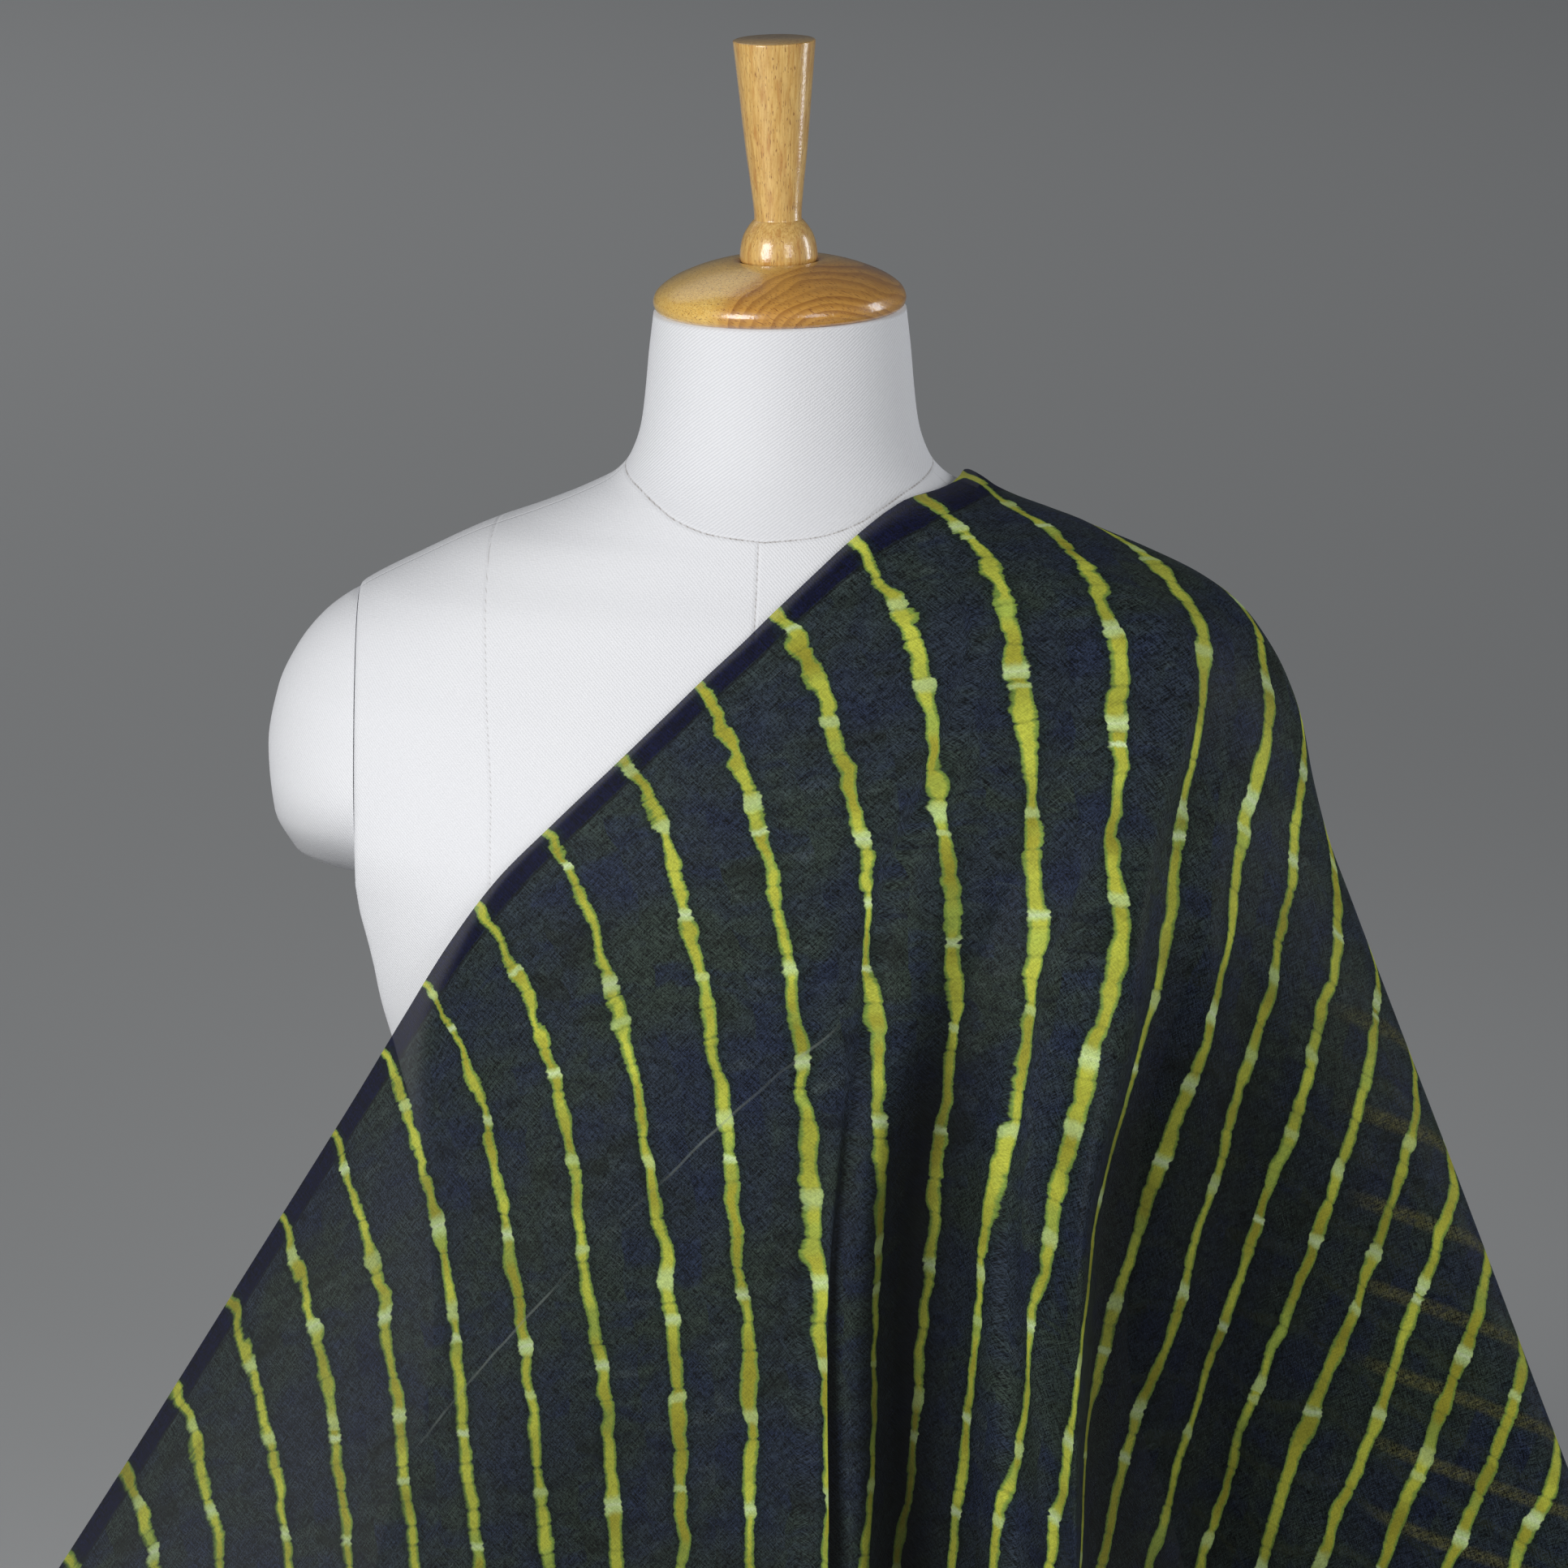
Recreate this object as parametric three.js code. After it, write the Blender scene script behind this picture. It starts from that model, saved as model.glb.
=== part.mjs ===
// A length of tie-dyed silk draped over the left shoulder of a table-top dress form.
// Millimetres, +Z up. The origin is the middle of the form's flat base, the form faces -Y,
// and +X is the side that carries the cloth.
import * as THREE from "three";

// ---- driving sizes -------------------------------------------------------
const GAP = 0.3; // clearance between solids that touch
const CLOTH_THICK = 1.2;
const CLOTH_CLEAR = 4.4; // mid-surface of the cloth to the form
const HEM_Z = 45; // level of the cut lower edge
const NECK_TOP_Z = 665.6;
const ARMHOLE_X = 182; // plane of the armhole plates, at the axis
const ARMHOLE_TOE = 0.09; // the plates turn in towards the front
const PAD_ROUND = { top: 480, reach: 62 }; // the lower end of an arm pad is round: from this level, by this much
const CREST_Y = 4; // plane of the shoulder ridge and of the outer fold
const RIDGE_TOP = { x: 77.3, y: 3.0, z: 596.2 }; // where the selvedge crosses the shoulder ridge
const LOFT_SIDES = 40;
const CLOTH_ROWS = 30;

// ---- the form: one row a level -------------------------------------------
// z, half width, depth in front of the axis, depth behind it, exponent of the section
const BODY = rows(
  ["z", "half", "front", "back", "power"],
  [
    [665.6, 54.1, 53.1, 55.1, 2],
    [648, 56.1, 55.1, 57.2, 2],
    [632, 57.5, 56.6, 59.2, 2],
    [617, 59.4, 58.2, 62.0, 2],
    [602.5, 64.3, 61.2, 66.0, 2],
    [594, 71.5, 64.4, 69.0, 1.97],
    [585.8, 87.0, 67.9, 73.0, 1.92],
    [577.7, 107.0, 71.6, 77.8, 1.9],
    [569.7, 129.0, 75.4, 82.4, 1.95],
    [557.5, 154.7, 81.5, 88.3, 2],
    [543.7, 181.0, 89.6, 94.6, 2.05],
    [530.2, 198.5, 95.3, 98.8, 2.1],
    [516, 209.5, 101.5, 102.0, 2.15],
    [499, 217.4, 108.7, 105.0, 2.2],
    [474, 221.8, 117.5, 106.0, 2.2],
    [446, 219.4, 124.0, 103.0, 2.2],
    [431, 212.0, 126.0, 101.0, 2.2],
    [420, 205.0, 126.5, 99.5, 2.2],
    [410, 199.5, 126.3, 98.0, 2.2],
    [398, 193.5, 125.5, 96.2, 2.2],
    [373, 183.5, 121.0, 92.0, 2.2],
    [345, 171.5, 114.5, 87.0, 2.2],
    [300, 158.5, 105.0, 80.0, 2.2],
    [250, 153.0, 101.0, 76.0, 2.2],
    [215, 152.0, 101.0, 78.0, 2.2],
    [180, 156.0, 104.0, 86.0, 2.2],
    [130, 172.0, 110.0, 101.0, 2.2],
    [80, 182.0, 114.0, 110.0, 2.2],
    [0, 184.0, 115.0, 110.0, 2.2],
  ],
);

// the flat side runs on from the armhole plate to the waist: z, x at the axis
const SIDE = rows(
  ["z", "x"],
  [
    [426, 182],
    [413, 180.4],
    [402, 178],
    [388, 175.2],
    [373, 173],
    [345, 167],
    [300, 159],
    [250, 160],
  ],
);

// ---- the turned wood: radius against height ------------------------------
const CAP = rows(
  ["z", "r"],
  [
    [666.0, 51.6],
    [667.2, 53.2],
    [670.2, 54.2],
    [673.4, 53.3],
    [677.8, 48.9],
    [682.2, 40.4],
    [685.8, 29.8],
    [687.2, 23.2],
    [687.5, 19.2],
    [687.0, 17.3],
    [685.1, 16.1],
  ],
);
const FINIAL = rows(
  ["z", "r"],
  [
    [685.4, 15.0],
    [687.0, 16.2],
    [689.2, 16.7],
    [691.6, 16.5],
    [694.6, 16.0],
    [698.2, 14.9],
    [701.8, 12.8],
    [704.4, 10.7],
    [704.9, 10.2],
    [705.4, 10.15],
    [717.0, 11.1],
    [733.0, 13.0],
    [748.0, 14.5],
    [763.0, 15.9],
    [776.3, 17.2],
    [781.2, 17.6],
    [781.6, 17.4],
    [781.8, 17.0],
  ],
);
const WOOD_TILT = THREE.MathUtils.degToRad(-1.2); // the neck is cut a little askew, and the wood leans with it

// ---- the cloth: one row a level ------------------------------------------
// sel: x of the front selvedge; crest: x of the outer fold; left: span of the front to the left;
// belly, belly_x: depth and place of the front's fullest point; hump, hump_x: the same behind;
// back: x of the back selvedge; round: 1 where the section is round over the shoulder, 0 where it is a flat fin
const LEVELS = rows(
  ["z", "sel", "crest", "left", "belly", "belly_x", "hump", "hump_x", "back", "round"],
  [
    [596.2, 77.3, 77.3, 78, 66, 0, 71, 0, 77.3, 1.0],
    [595.3, 61, 80.4, 82, 68, 0, 73, 0, 78.1, 1.0],
    [591.2, 53.25, 87, 89, 70, 0, 76, 0, 81, 1.0],
    [585.7, 44.5, 95.5, 98, 72, 0, 79, 0, 83, 1.0],
    [580.7, 38, 106.5, 109, 74, 0, 81.5, 0, 82, 1.0],
    [574.7, 30.75, 124, 124, 77, 0, 84.5, 0, 79, 1.0],
    [567.7, 23, 142, 142, 81, 0, 88, 0, 73, 1.0],
    [559.7, 14.25, 162, 159, 85, 0, 92, 0, 65, 1.0],
    [549.8, 3.5, 183, 178, 91.5, 0, 96, 0, 56, 1.0],
    [538.9, -7.75, 198, 195, 96, 0, 100, 0, 46.5, 1.0],
    [525.8, -22, 208.5, 208, 101.2, 0, 104, 0, 36.5, 1.0],
    [509.6, -38.75, 217.6, 217, 108, 0, 107, 0, 26, 1.0],
    [489.0, -60.0, 225.0, 223, 116, 0, 109.5, 0, 14.5, 1.0],
    [465.0, -85.0, 229.8, 225, 124, 0, 110, 0, 3.0, 0.97],
    [440.0, -109.2, 236.2, 221, 130, 2, 110, 0, -9.0, 0.88],
    [410.0, -130.8, 247.4, 214, 134.5, 5, 112, 2, -22.5, 0.7],
    [375.0, -151.8, 260.9, 208, 138, 10, 115, 6, -38.0, 0.48],
    [335.0, -175.2, 276.5, 222, 140.5, 14, 119, 12, -54.5, 0.28],
    [290.0, -202.5, 294.1, 250, 143, 18, 124, 18, -72.0, 0.12],
    [240.0, -233.2, 313.3, 290, 144.5, 22, 129, 22, -90.0, 0.05],
    [190.0, -263.8, 332.5, 328, 147, 24, 134, 26, -107.5, 0.02],
    [140.0, -294.7, 351.8, 366, 150, 26, 139, 28, -124.5, 0.0],
    [90.0, -325.4, 371.0, 404, 153, 28, 144, 30, -141.0, 0.0],
    [45.0, -353.2, 388.3, 438, 155.5, 30, 148, 32, -155.0, 0.0],
  ],
);
// radius of the outer fold against height
const FOLD_RADIUS = rows(
  ["z", "r"],
  [
    [45, 8],
    [250, 9],
    [380, 13],
    [480, 24],
    [560, 12],
    [602, 3],
  ],
);

// ---- the folds: one row a ridge, trough or edge --------------------------
// at: share of the way across at each fold level; out: how far the fold stands out (+) or in (-) there
// rise: how far the hem lifts there; steps: mesh columns up to the next row
const FOLD_LEVELS = [540, 470, 400, 300, 150, 45];
const FOLDS_BEGIN = [585, 540]; // the folds grow out of the smooth shoulder between these heights
const FOLD_COLUMNS = ["name", "at", "out", "rise", "steps"];
const FRONT = rows(FOLD_COLUMNS, [
  ["selvedge", [0, 0, 0, 0, 0, 0], [0, 0, 0, 0, 0, 0], 4, 2],
  ["left_dip", [0.11, 0.115, 0.125, 0.13, 0.13, 0.13], [0, 0, 0, -2, -6, -7], 0, 2],
  ["left_swell", [0.23, 0.235, 0.245, 0.25, 0.26, 0.26], [0, 0, 0, 2, 5, 6], 3, 2],
  ["mid_dip", [0.33, 0.335, 0.345, 0.36, 0.38, 0.39], [0, 0, 0, -2, -5, -6], 0, 1],
  ["pleat_back", [0.41, 0.415, 0.42, 0.458, 0.495, 0.51], [0, 0, 0, -1, -3, -3], 0, 1],
  ["pleat_edge", [0.45, 0.455, 0.463, 0.476, 0.508, 0.525], [0, 0, 0, 2, 4, 5], 1, 1],
  ["pleat_foot", [0.47, 0.472, 0.478, 0.4785, 0.504, 0.52], [0, 0, 0, -3, -11, -13], 2, 1],
  ["band", [0.54, 0.535, 0.52, 0.5, 0.525, 0.54], [0, 3, 4, 1, -2, -3], 2, 1],
  ["valley", [0.64, 0.62, 0.582, 0.543, 0.553, 0.56], [0, 0, -3, -25, -35, -38], 5, 1],
  ["valley_side", [0.7, 0.67, 0.615, 0.575, 0.589, 0.597], [4, 6, 4, -13, -19, -21], 4, 1],
  ["ridge", [0.75, 0.715, 0.648, 0.626, 0.633, 0.636], [8, 10, 14, 21, 19, 19], 0, 1],
  ["dip", [0.79, 0.745, 0.672, 0.642, 0.651, 0.655], [10, 14, 22, 23, 20, 19], 0, 1],
  ["crease_top", [0.905, 0.81, 0.765, 0.697, 0.675, 0.672], [18, 18, 57, 65, 55, 52], 0, 1],
  ["crease_foot", [0.925, 0.84, 0.796, 0.709, 0.68, 0.676], [14, 6, 33, 42, 30, 28], 4, 2],
  ["right_swell", [0.955, 0.888, 0.845, 0.77, 0.729, 0.72], [8, 5, 30, 33, 11, 6], 5, 1],
  ["hollow", [0.97, 0.925, 0.876, 0.83, 0.77, 0.76], [4, 3, 15, 22, 0, -4], 6, 1],
  ["fin", [0.985, 0.975, 0.93, 0.895, 0.82, 0.81], [0, -2, 7, 17, -1, -5], 5, 4],
  ["crest", [1, 1, 1, 1, 1, 1], [0, 0, 0, 0, 0, 0], 6, 0],
]);
const BACK = rows(FOLD_COLUMNS, [
  ["crest", [0, 0, 0, 0, 0, 0], [0, 0, 0, 0, 0, 0], 6, 5],
  ["flat", [0.15, 0.15, 0.15, 0.15, 0.15, 0.15], [0, 0, 0, 0, 0, 0], 4, 2],
  ["ridge_1", [0.23, 0.231, 0.232, 0.233, 0.236, 0.236], [0, 0, 2, 6, 12, 17], 0, 2],
  ["trough_1", [0.29, 0.292, 0.294, 0.296, 0.299, 0.299], [0, 0, -3, -7, -16, -22], 3, 3],
  ["ridge_2", [0.38, 0.38, 0.379, 0.377, 0.381, 0.38], [0, 1, 5, 12, 24, 33], 0, 3],
  ["trough_2", [0.45, 0.453, 0.46, 0.467, 0.467, 0.469], [0, -1, -4, -9, -19, -27], 5, 3],
  ["ridge_3", [0.52, 0.523, 0.53, 0.536, 0.531, 0.531], [0, 1, 5, 11, 22, 30], 2, 3],
  ["trough_3", [0.61, 0.61, 0.607, 0.604, 0.594, 0.591], [0, 0, -4, -9, -20, -28], 10, 3],
  ["ridge_4", [0.71, 0.709, 0.706, 0.703, 0.695, 0.692], [0, 2, 6, 15, 29, 40], 10, 3],
  ["trough_4", [0.79, 0.789, 0.79, 0.791, 0.791, 0.793], [0, 0, -3, -9, -18, -26], 20, 3],
  ["ridge_5", [0.85, 0.852, 0.856, 0.86, 0.867, 0.869], [0, 1, 5, 11, 22, 31], 26, 3],
  ["trough_5", [0.93, 0.931, 0.931, 0.932, 0.933, 0.933], [0, 0, -2, -5, -11, -16], 38, 2],
  ["back_selvedge", [1, 1, 1, 1, 1, 1], [0, 0, 2, 5, 10, 14], 50, 0],
]);

// ---- helpers -------------------------------------------------------------
function rows(columns, data) {
  return data.map((d) => Object.fromEntries(columns.map((c, i) => [c, d[i]])));
}
const clamp = (v, a, b) => Math.min(Math.max(v, a), b);
const smooth = (t) => {
  t = clamp(t, 0, 1);
  return t * t * (3 - 2 * t);
};

// A monotone cubic through a table's column.
function through(table, by, column) {
  const t = [...table].sort((a, b) => a[by] - b[by]);
  const x = t.map((r) => r[by]),
    y = t.map((r) => r[column]),
    n = x.length;
  const h = [],
    d = [],
    m = new Array(n).fill(0);
  for (let i = 0; i < n - 1; i++) {
    h.push(x[i + 1] - x[i]);
    d.push((y[i + 1] - y[i]) / h[i]);
  }
  for (let i = 1; i < n - 1; i++)
    if (d[i - 1] * d[i] > 0) {
      const a = 2 * h[i] + h[i - 1],
        b = h[i] + 2 * h[i - 1];
      m[i] = (a + b) / (a / d[i - 1] + b / d[i]);
    }
  m[0] = d[0];
  m[n - 1] = d[n - 2];
  return (v) => {
    v = clamp(v, x[0], x[n - 1]);
    let i = 0;
    while (i < n - 2 && v >= x[i + 1]) i++;
    const s = (v - x[i]) / h[i];
    return (
      (1 + 2 * s) * (1 - s) ** 2 * y[i] +
      s * (1 - s) ** 2 * h[i] * m[i] +
      s * s * (3 - 2 * s) * y[i + 1] +
      s * s * (s - 1) * h[i] * m[i + 1]
    );
  };
}
const body = Object.fromEntries(
  ["half", "front", "back", "power"].map((c) => [c, through(BODY, "z", c)]),
);
const level = Object.fromEntries(
  ["sel", "crest", "left", "belly", "belly_x", "hump", "hump_x", "back", "round"].map(
    (c) => [c, through(LEVELS, "z", c)],
  ),
);
const foldRadius = through(FOLD_RADIUS, "z", "r");
// each fold's place and depth against height
const byLevel = (values) => through(FOLD_LEVELS.map((z, i) => ({ z, v: values[i] })), "z", "v");
const foldCurves = (table) =>
  table.map(({ at, out, rise }) => ({ at: byLevel(at), out: byLevel(out), rise }));
const folds = { front: foldCurves(FRONT), back: foldCurves(BACK) };

// Rings of points and two end points become one closed mesh.
function closedRings(rings, low, high) {
  const positions = [],
    index = [],
    n = rings[0].length;
  for (const ring of rings) for (const p of ring) positions.push(...p);
  for (let i = 0; i < rings.length - 1; i++)
    for (let j = 0; j < n; j++) {
      const a = i * n + j,
        b = i * n + ((j + 1) % n),
        c = a + n,
        d = b + n;
      index.push(a, b, d, a, d, c);
    }
  const lowAt = positions.length / 3;
  positions.push(...low, ...high);
  const last = (rings.length - 1) * n;
  for (let j = 0; j < n; j++) {
    index.push(lowAt, (j + 1) % n, j);
    index.push(lowAt + 1, last + j, last + ((j + 1) % n));
  }
  return geometry(positions, index);
}
function geometry(positions, index) {
  const g = new THREE.BufferGeometry();
  g.setAttribute("position", new THREE.Float32BufferAttribute(positions, 3));
  g.setIndex(index);
  g.computeVertexNormals();
  return g;
}

// Point of the form's section at height z and angle a, before the armholes are cut flat.
function sectionPoint(z, a) {
  const p = body.power(z),
    c = Math.cos(a),
    s = Math.sin(a);
  return [
    body.half(z) * Math.sign(c) * Math.abs(c) ** (2 / p),
    (s > 0 ? body.back(z) : body.front(z)) * Math.sign(s) * Math.abs(s) ** (2 / p),
    z,
  ];
}

// x of the armhole plate at depth y, and of the flat side that runs on below it
const armhole = (y) => ARMHOLE_X + ARMHOLE_TOE * y;
const sideLine = through(SIDE, "z", "x");
function flatSide(y, z) {
  const low = smooth((250 - z) / 60);
  return (sideLine(z) + ARMHOLE_TOE * smooth((z - 250) / 100) * y) * (1 - low) + 400 * low;
}

// ---- the torso and neck --------------------------------------------------
function torsoGeometry() {
  const levels = [];
  for (let i = 0; i < BODY.length - 1; i++) {
    levels.push(BODY[i].z);
    if (BODY[i].z - BODY[i + 1].z > 60) levels.push((BODY[i].z + BODY[i + 1].z) / 2);
  }
  levels.push(0);
  levels.reverse();
  const rings = levels.map((z) => {
    const ring = [];
    for (let j = 0; j < LOFT_SIDES; j++) {
      const [x, y] = sectionPoint(z, (j / LOFT_SIDES) * 2 * Math.PI);
      const askew = x * Math.tan(-WOOD_TILT) * smooth((z - 625) / (NECK_TOP_Z - 625));
      ring.push([clamp(x, -flatSide(y, z), flatSide(y, z)), y, z + askew]);
    }
    return ring;
  });
  return closedRings(rings, [0, 0, 0], [0, 0, NECK_TOP_Z]);
}

// ---- the arm pads: what the same sections hold beyond the armhole plane ---
function padGeometry(side) {
  const arc = 12,
    zs = [542.1, 537, 530, 518, 502, 486, 468, 452, 440, 430, 423, 419.4, 418.2];
  const rings = zs
    .slice()
    .reverse()
    .map((z) => {
      const h = body.half(z),
        p = body.power(z),
        below = clamp((PAD_ROUND.top - z) / PAD_ROUND.reach, 0, 1),
        share = Math.sqrt(1 - below ** 2.6),
        tuck = clamp((z - PAD_ROUND.top + PAD_ROUND.reach) / 10, 0, 1) ** 0.3,
        ring = [];
      // how far round the section each end of the plate lies
      const ends = [-1, 1].map((face) => {
        const depth = face > 0 ? body.back(z) : body.front(z);
        let s = 0.3;
        for (let i = 0; i < 40; i++)
          s = clamp(1 - ((armhole(face * s * depth) + 0.3) / h) ** p, 1e-4, 1) ** (1 / p);
        return s;
      });
      for (let j = 0; j <= arc; j++) {
        // from the front edge of the plate, round the outside, to the back edge
        const t = (j / arc) * 2 - 1,
          s = Math.sin((t * Math.PI) / 2) * ends[t < 0 ? 0 : 1],
          y = s * (s > 0 ? body.back(z) : body.front(z)),
          out = Math.max(h * (1 - Math.abs(s) ** p) ** (1 / p) - armhole(y) - GAP, 0);
        ring.push([side * (armhole(y * share) + GAP + out * tuck), y * share, z]);
      }
      if (side < 0) ring.reverse();
      return ring;
    });
  const mean = (ring) =>
    [0, 1, 2].map((k) => ring.reduce((s, p) => s + p[k], 0) / ring.length);
  const low = mean(rings[0]),
    high = mean(rings[rings.length - 1]);
  low[0] = side * (armhole(low[1]) + GAP + 0.8);
  high[0] = side * (armhole(high[1]) + GAP + 0.2);
  low[2] -= 0.2;
  high[2] += 0.5;
  return closedRings(rings, low, high);
}

// ---- the cloth's surface -------------------------------------------------
// Distance of the sheet from the crest plane at share xi between its fullest point and the crest.
function halfGap(xi, depth, z, span) {
  xi = clamp(xi, 0, 1);
  const r = foldRadius(z),
    round = level.round(z);
  const ellipse = depth * Math.sqrt(clamp(1 - xi ** 2.1, 0, 1));
  const edge = clamp((xi * span - (span - r)) / r, 0, 1);
  const wave = clamp(0.5 + 0.5 * Math.cos(Math.PI * xi ** 1.15), 0, 1) ** 0.92;
  const fin =
    (r + (depth - r) * (0.4 * wave + 0.6 * (1 - xi ** 1.5))) * Math.sqrt(1 - edge * edge);
  return round * ellipse + (1 - round) * fin;
}
function sheetDepth(x, z, face) {
  const full = face < 0 ? level.belly(z) + CREST_Y : level.hump(z) - CREST_Y,
    at = face < 0 ? level.belly_x(z) : level.hump_x(z),
    span = Math.max(level.crest(z) - at, 1e-6);
  const gap =
    x > at
      ? halfGap((x - at) / span, full, z, span)
      : full * clamp(1 - ((at - x) / level.left(z)) ** 2.2, 0, 1) ** (1 / 2.2);
  return CREST_Y + face * gap;
}
// Slopes of a monotone cubic through knots that are run apart.
function slopes(values, run) {
  const d = run.map((h, i) => (values[i + 1] - values[i]) / h),
    m = values.map(() => 0);
  for (let i = 1; i < values.length - 1; i++)
    if (d[i - 1] * d[i] > 0) {
      const a = 2 * run[i] + run[i - 1],
        b = run[i] + 2 * run[i - 1];
      m[i] = (a + b) / (a / d[i - 1] + b / d[i]);
    }
  m[0] = d[0];
  m[values.length - 1] = d[d.length - 1];
  return m;
}

// Level set of the form: 1 on its surface.
function formLevel(p) {
  const z = clamp(p[2], 0, NECK_TOP_Z),
    e = body.power(z);
  return (
    ((Math.abs(p[0]) / body.half(z)) ** e +
      (Math.abs(p[1]) / (p[1] < 0 ? body.front(z) : body.back(z))) ** e) **
    (1 / e)
  );
}
// Moves a point straight out until it stands clear of the form.
function clearOfForm(p) {
  for (let pass = 0; pass < 4; pass++) {
    const at = formLevel(p),
      step = 0.5;
    const slope = [0, 1, 2].map((k) => {
      const a = [...p],
        b = [...p];
      a[k] += step;
      b[k] -= step;
      return (formLevel(a) - formLevel(b)) / (2 * step);
    });
    const size = Math.hypot(...slope) + 1e-9,
      short = CLOTH_CLEAR - (at - 1) / size;
    if (short <= 0) break;
    p = p.map((v, k) => v + (slope[k] / size) * short);
  }
  return p;
}
// face -1 is the front and +1 the back; k is the fold row and t the share of the way to the next
function sheetPoint(face, k, t, z) {
  const curves = face < 0 ? folds.front : folds.back,
    free = face < 0 ? level.sel(z) : level.back(z),
    crest = level.crest(z),
    [start, end] = face < 0 ? [free, crest] : [crest, free],
    full = smooth((FOLDS_BEGIN[0] - z) / (FOLDS_BEGIN[0] - FOLDS_BEGIN[1]));
  if (face < 0 && k === curves.length - 2) t = Math.sin((Math.PI / 2) * t);
  if (face > 0 && k === 0) t = 1 - Math.cos((Math.PI / 2) * t);
  const x = curves.map((f) => start + (end - start) * f.at(z)),
    out = curves.map((f) => full * f.out(z)),
    run = x.slice(1).map((v, i) => Math.hypot(v - x[i], out[i + 1] - out[i]) + 0.3);
  const between = (q) => {
    const m = slopes(q, run);
    return (
      (1 + 2 * t) * (1 - t) ** 2 * q[k] +
      t * (1 - t) ** 2 * run[k] * m[k] +
      t * t * (3 - 2 * t) * q[k + 1] +
      t * t * (t - 1) * run[k] * m[k + 1]
    );
  };
  const px = between(x),
    c = smooth(t),
    lift =
      (curves[k].rise * (1 - c) + curves[k + 1].rise * c) * clamp((200 - z) / 155, 0, 1) ** 2;
  return clearOfForm([px, sheetDepth(px, z, face) + face * between(out), z + lift]);
}

// ---- the cloth as one closed sheet ---------------------------------------
function clothGeometry() {
  // columns: from the front selvedge round the crest to the back selvedge
  const columns = [];
  for (const [face, table] of [[-1, FRONT], [1, BACK]])
    for (let k = 0; k < table.length - 1; k++)
      for (let j = 0; j < table[k].steps; j++)
        columns.push([face, k, j / table[k].steps]);
  columns.push([1, BACK.length - 2, 1]);
  // rows: close together over the shoulder, wider below
  const zs = [];
  for (let i = 1; i <= CLOTH_ROWS; i++) {
    const at = (i / CLOTH_ROWS) * (LEVELS.length - 1),
      k = Math.min(Math.floor(at), LEVELS.length - 2);
    zs.push(LEVELS[k].z + (LEVELS[k + 1].z - LEVELS[k].z) * (at - k));
  }
  const grid = zs.map((z) => columns.map(([face, k, t]) => sheetPoint(face, k, t, z)));
  const top = clearOfForm([RIDGE_TOP.x, RIDGE_TOP.y, RIDGE_TOP.z]);
  const m = columns.length,
    n = zs.length,
    at = (i, j) => (i < 0 ? top : grid[i][j]);
  const sub = (p, q) => p.map((v, k) => v - q[k]);
  const cross = (p, q) => [
    p[1] * q[2] - p[2] * q[1],
    p[2] * q[0] - p[0] * q[2],
    p[0] * q[1] - p[1] * q[0],
  ];
  const unit = (v) => {
    const s = Math.hypot(...v) || 1;
    return v.map((c) => c / s);
  };
  // half way between the faces that meet at the point
  const normal = (i, j) => {
    const p = at(i, j),
      before = j > 0 ? unit(sub(p, at(i, j - 1))) : [0, 0, 0],
      after = j < m - 1 ? unit(sub(at(i, j + 1), p)) : [0, 0, 0],
      along = before.map((v, k) => v + after[k]),
      down = sub(at(Math.min(i + 1, n - 1), j), at(i - 1, j));
    return unit(cross(down, along));
  };
  const positions = [],
    index = [];
  // outer skin, inner skin, then the two points of the top
  for (const side of [1, -1])
    for (let i = 0; i < n; i++)
      for (let j = 0; j < m; j++) {
        const p = grid[i][j],
          v = normal(i, j);
        positions.push(...p.map((c, k) => c + (side * v[k] * CLOTH_THICK) / 2));
      }
  const up = [0.45, -0.08, 0.89];
  for (const side of [1, -1])
    positions.push(...top.map((c, k) => c + (side * up[k] * CLOTH_THICK) / 2));
  const outer = (i, j) => (i < 0 ? 2 * n * m : i * m + j),
    inner = (i, j) => (i < 0 ? 2 * n * m + 1 : n * m + i * m + j);
  const tri = (a, b, c) => a !== b && b !== c && a !== c && index.push(a, b, c);
  const quad = (a, b, c, d) => {
    tri(a, b, c);
    tri(a, c, d);
  };
  for (let i = -1; i < n - 1; i++)
    for (let j = 0; j < m - 1; j++) {
      quad(outer(i, j), outer(i + 1, j), outer(i + 1, j + 1), outer(i, j + 1));
      quad(inner(i, j), inner(i, j + 1), inner(i + 1, j + 1), inner(i + 1, j));
    }
  // the two selvedges and the cut hem
  for (let i = -1; i < n - 1; i++) {
    quad(outer(i, 0), inner(i, 0), inner(i + 1, 0), outer(i + 1, 0));
    quad(outer(i, m - 1), outer(i + 1, m - 1), inner(i + 1, m - 1), inner(i, m - 1));
  }
  for (let j = 0; j < m - 1; j++)
    quad(outer(n - 1, j), inner(n - 1, j), inner(n - 1, j + 1), outer(n - 1, j + 1));
  return geometry(positions, index);
}

// ---- turned pieces -------------------------------------------------------
function turned(table, sides, baseZ) {
  const profile = [new THREE.Vector2(0, table[0].z - baseZ)];
  for (const { z, r } of table) profile.push(new THREE.Vector2(r, z - baseZ));
  profile.push(new THREE.Vector2(0, table[table.length - 1].z - baseZ));
  const g = new THREE.LatheGeometry(profile, sides);
  g.rotateX(Math.PI / 2);
  return g;
}

// ---- materials and the group ---------------------------------------------
const canvas = new THREE.MeshStandardMaterial({ color: 0xe6e7ec, roughness: 0.9, metalness: 0 });
const wood = new THREE.MeshStandardMaterial({ color: 0xb98b4b, roughness: 0.3, metalness: 0 });
const silk = new THREE.MeshStandardMaterial({ color: 0x2b3338, roughness: 0.6, metalness: 0 });

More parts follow.
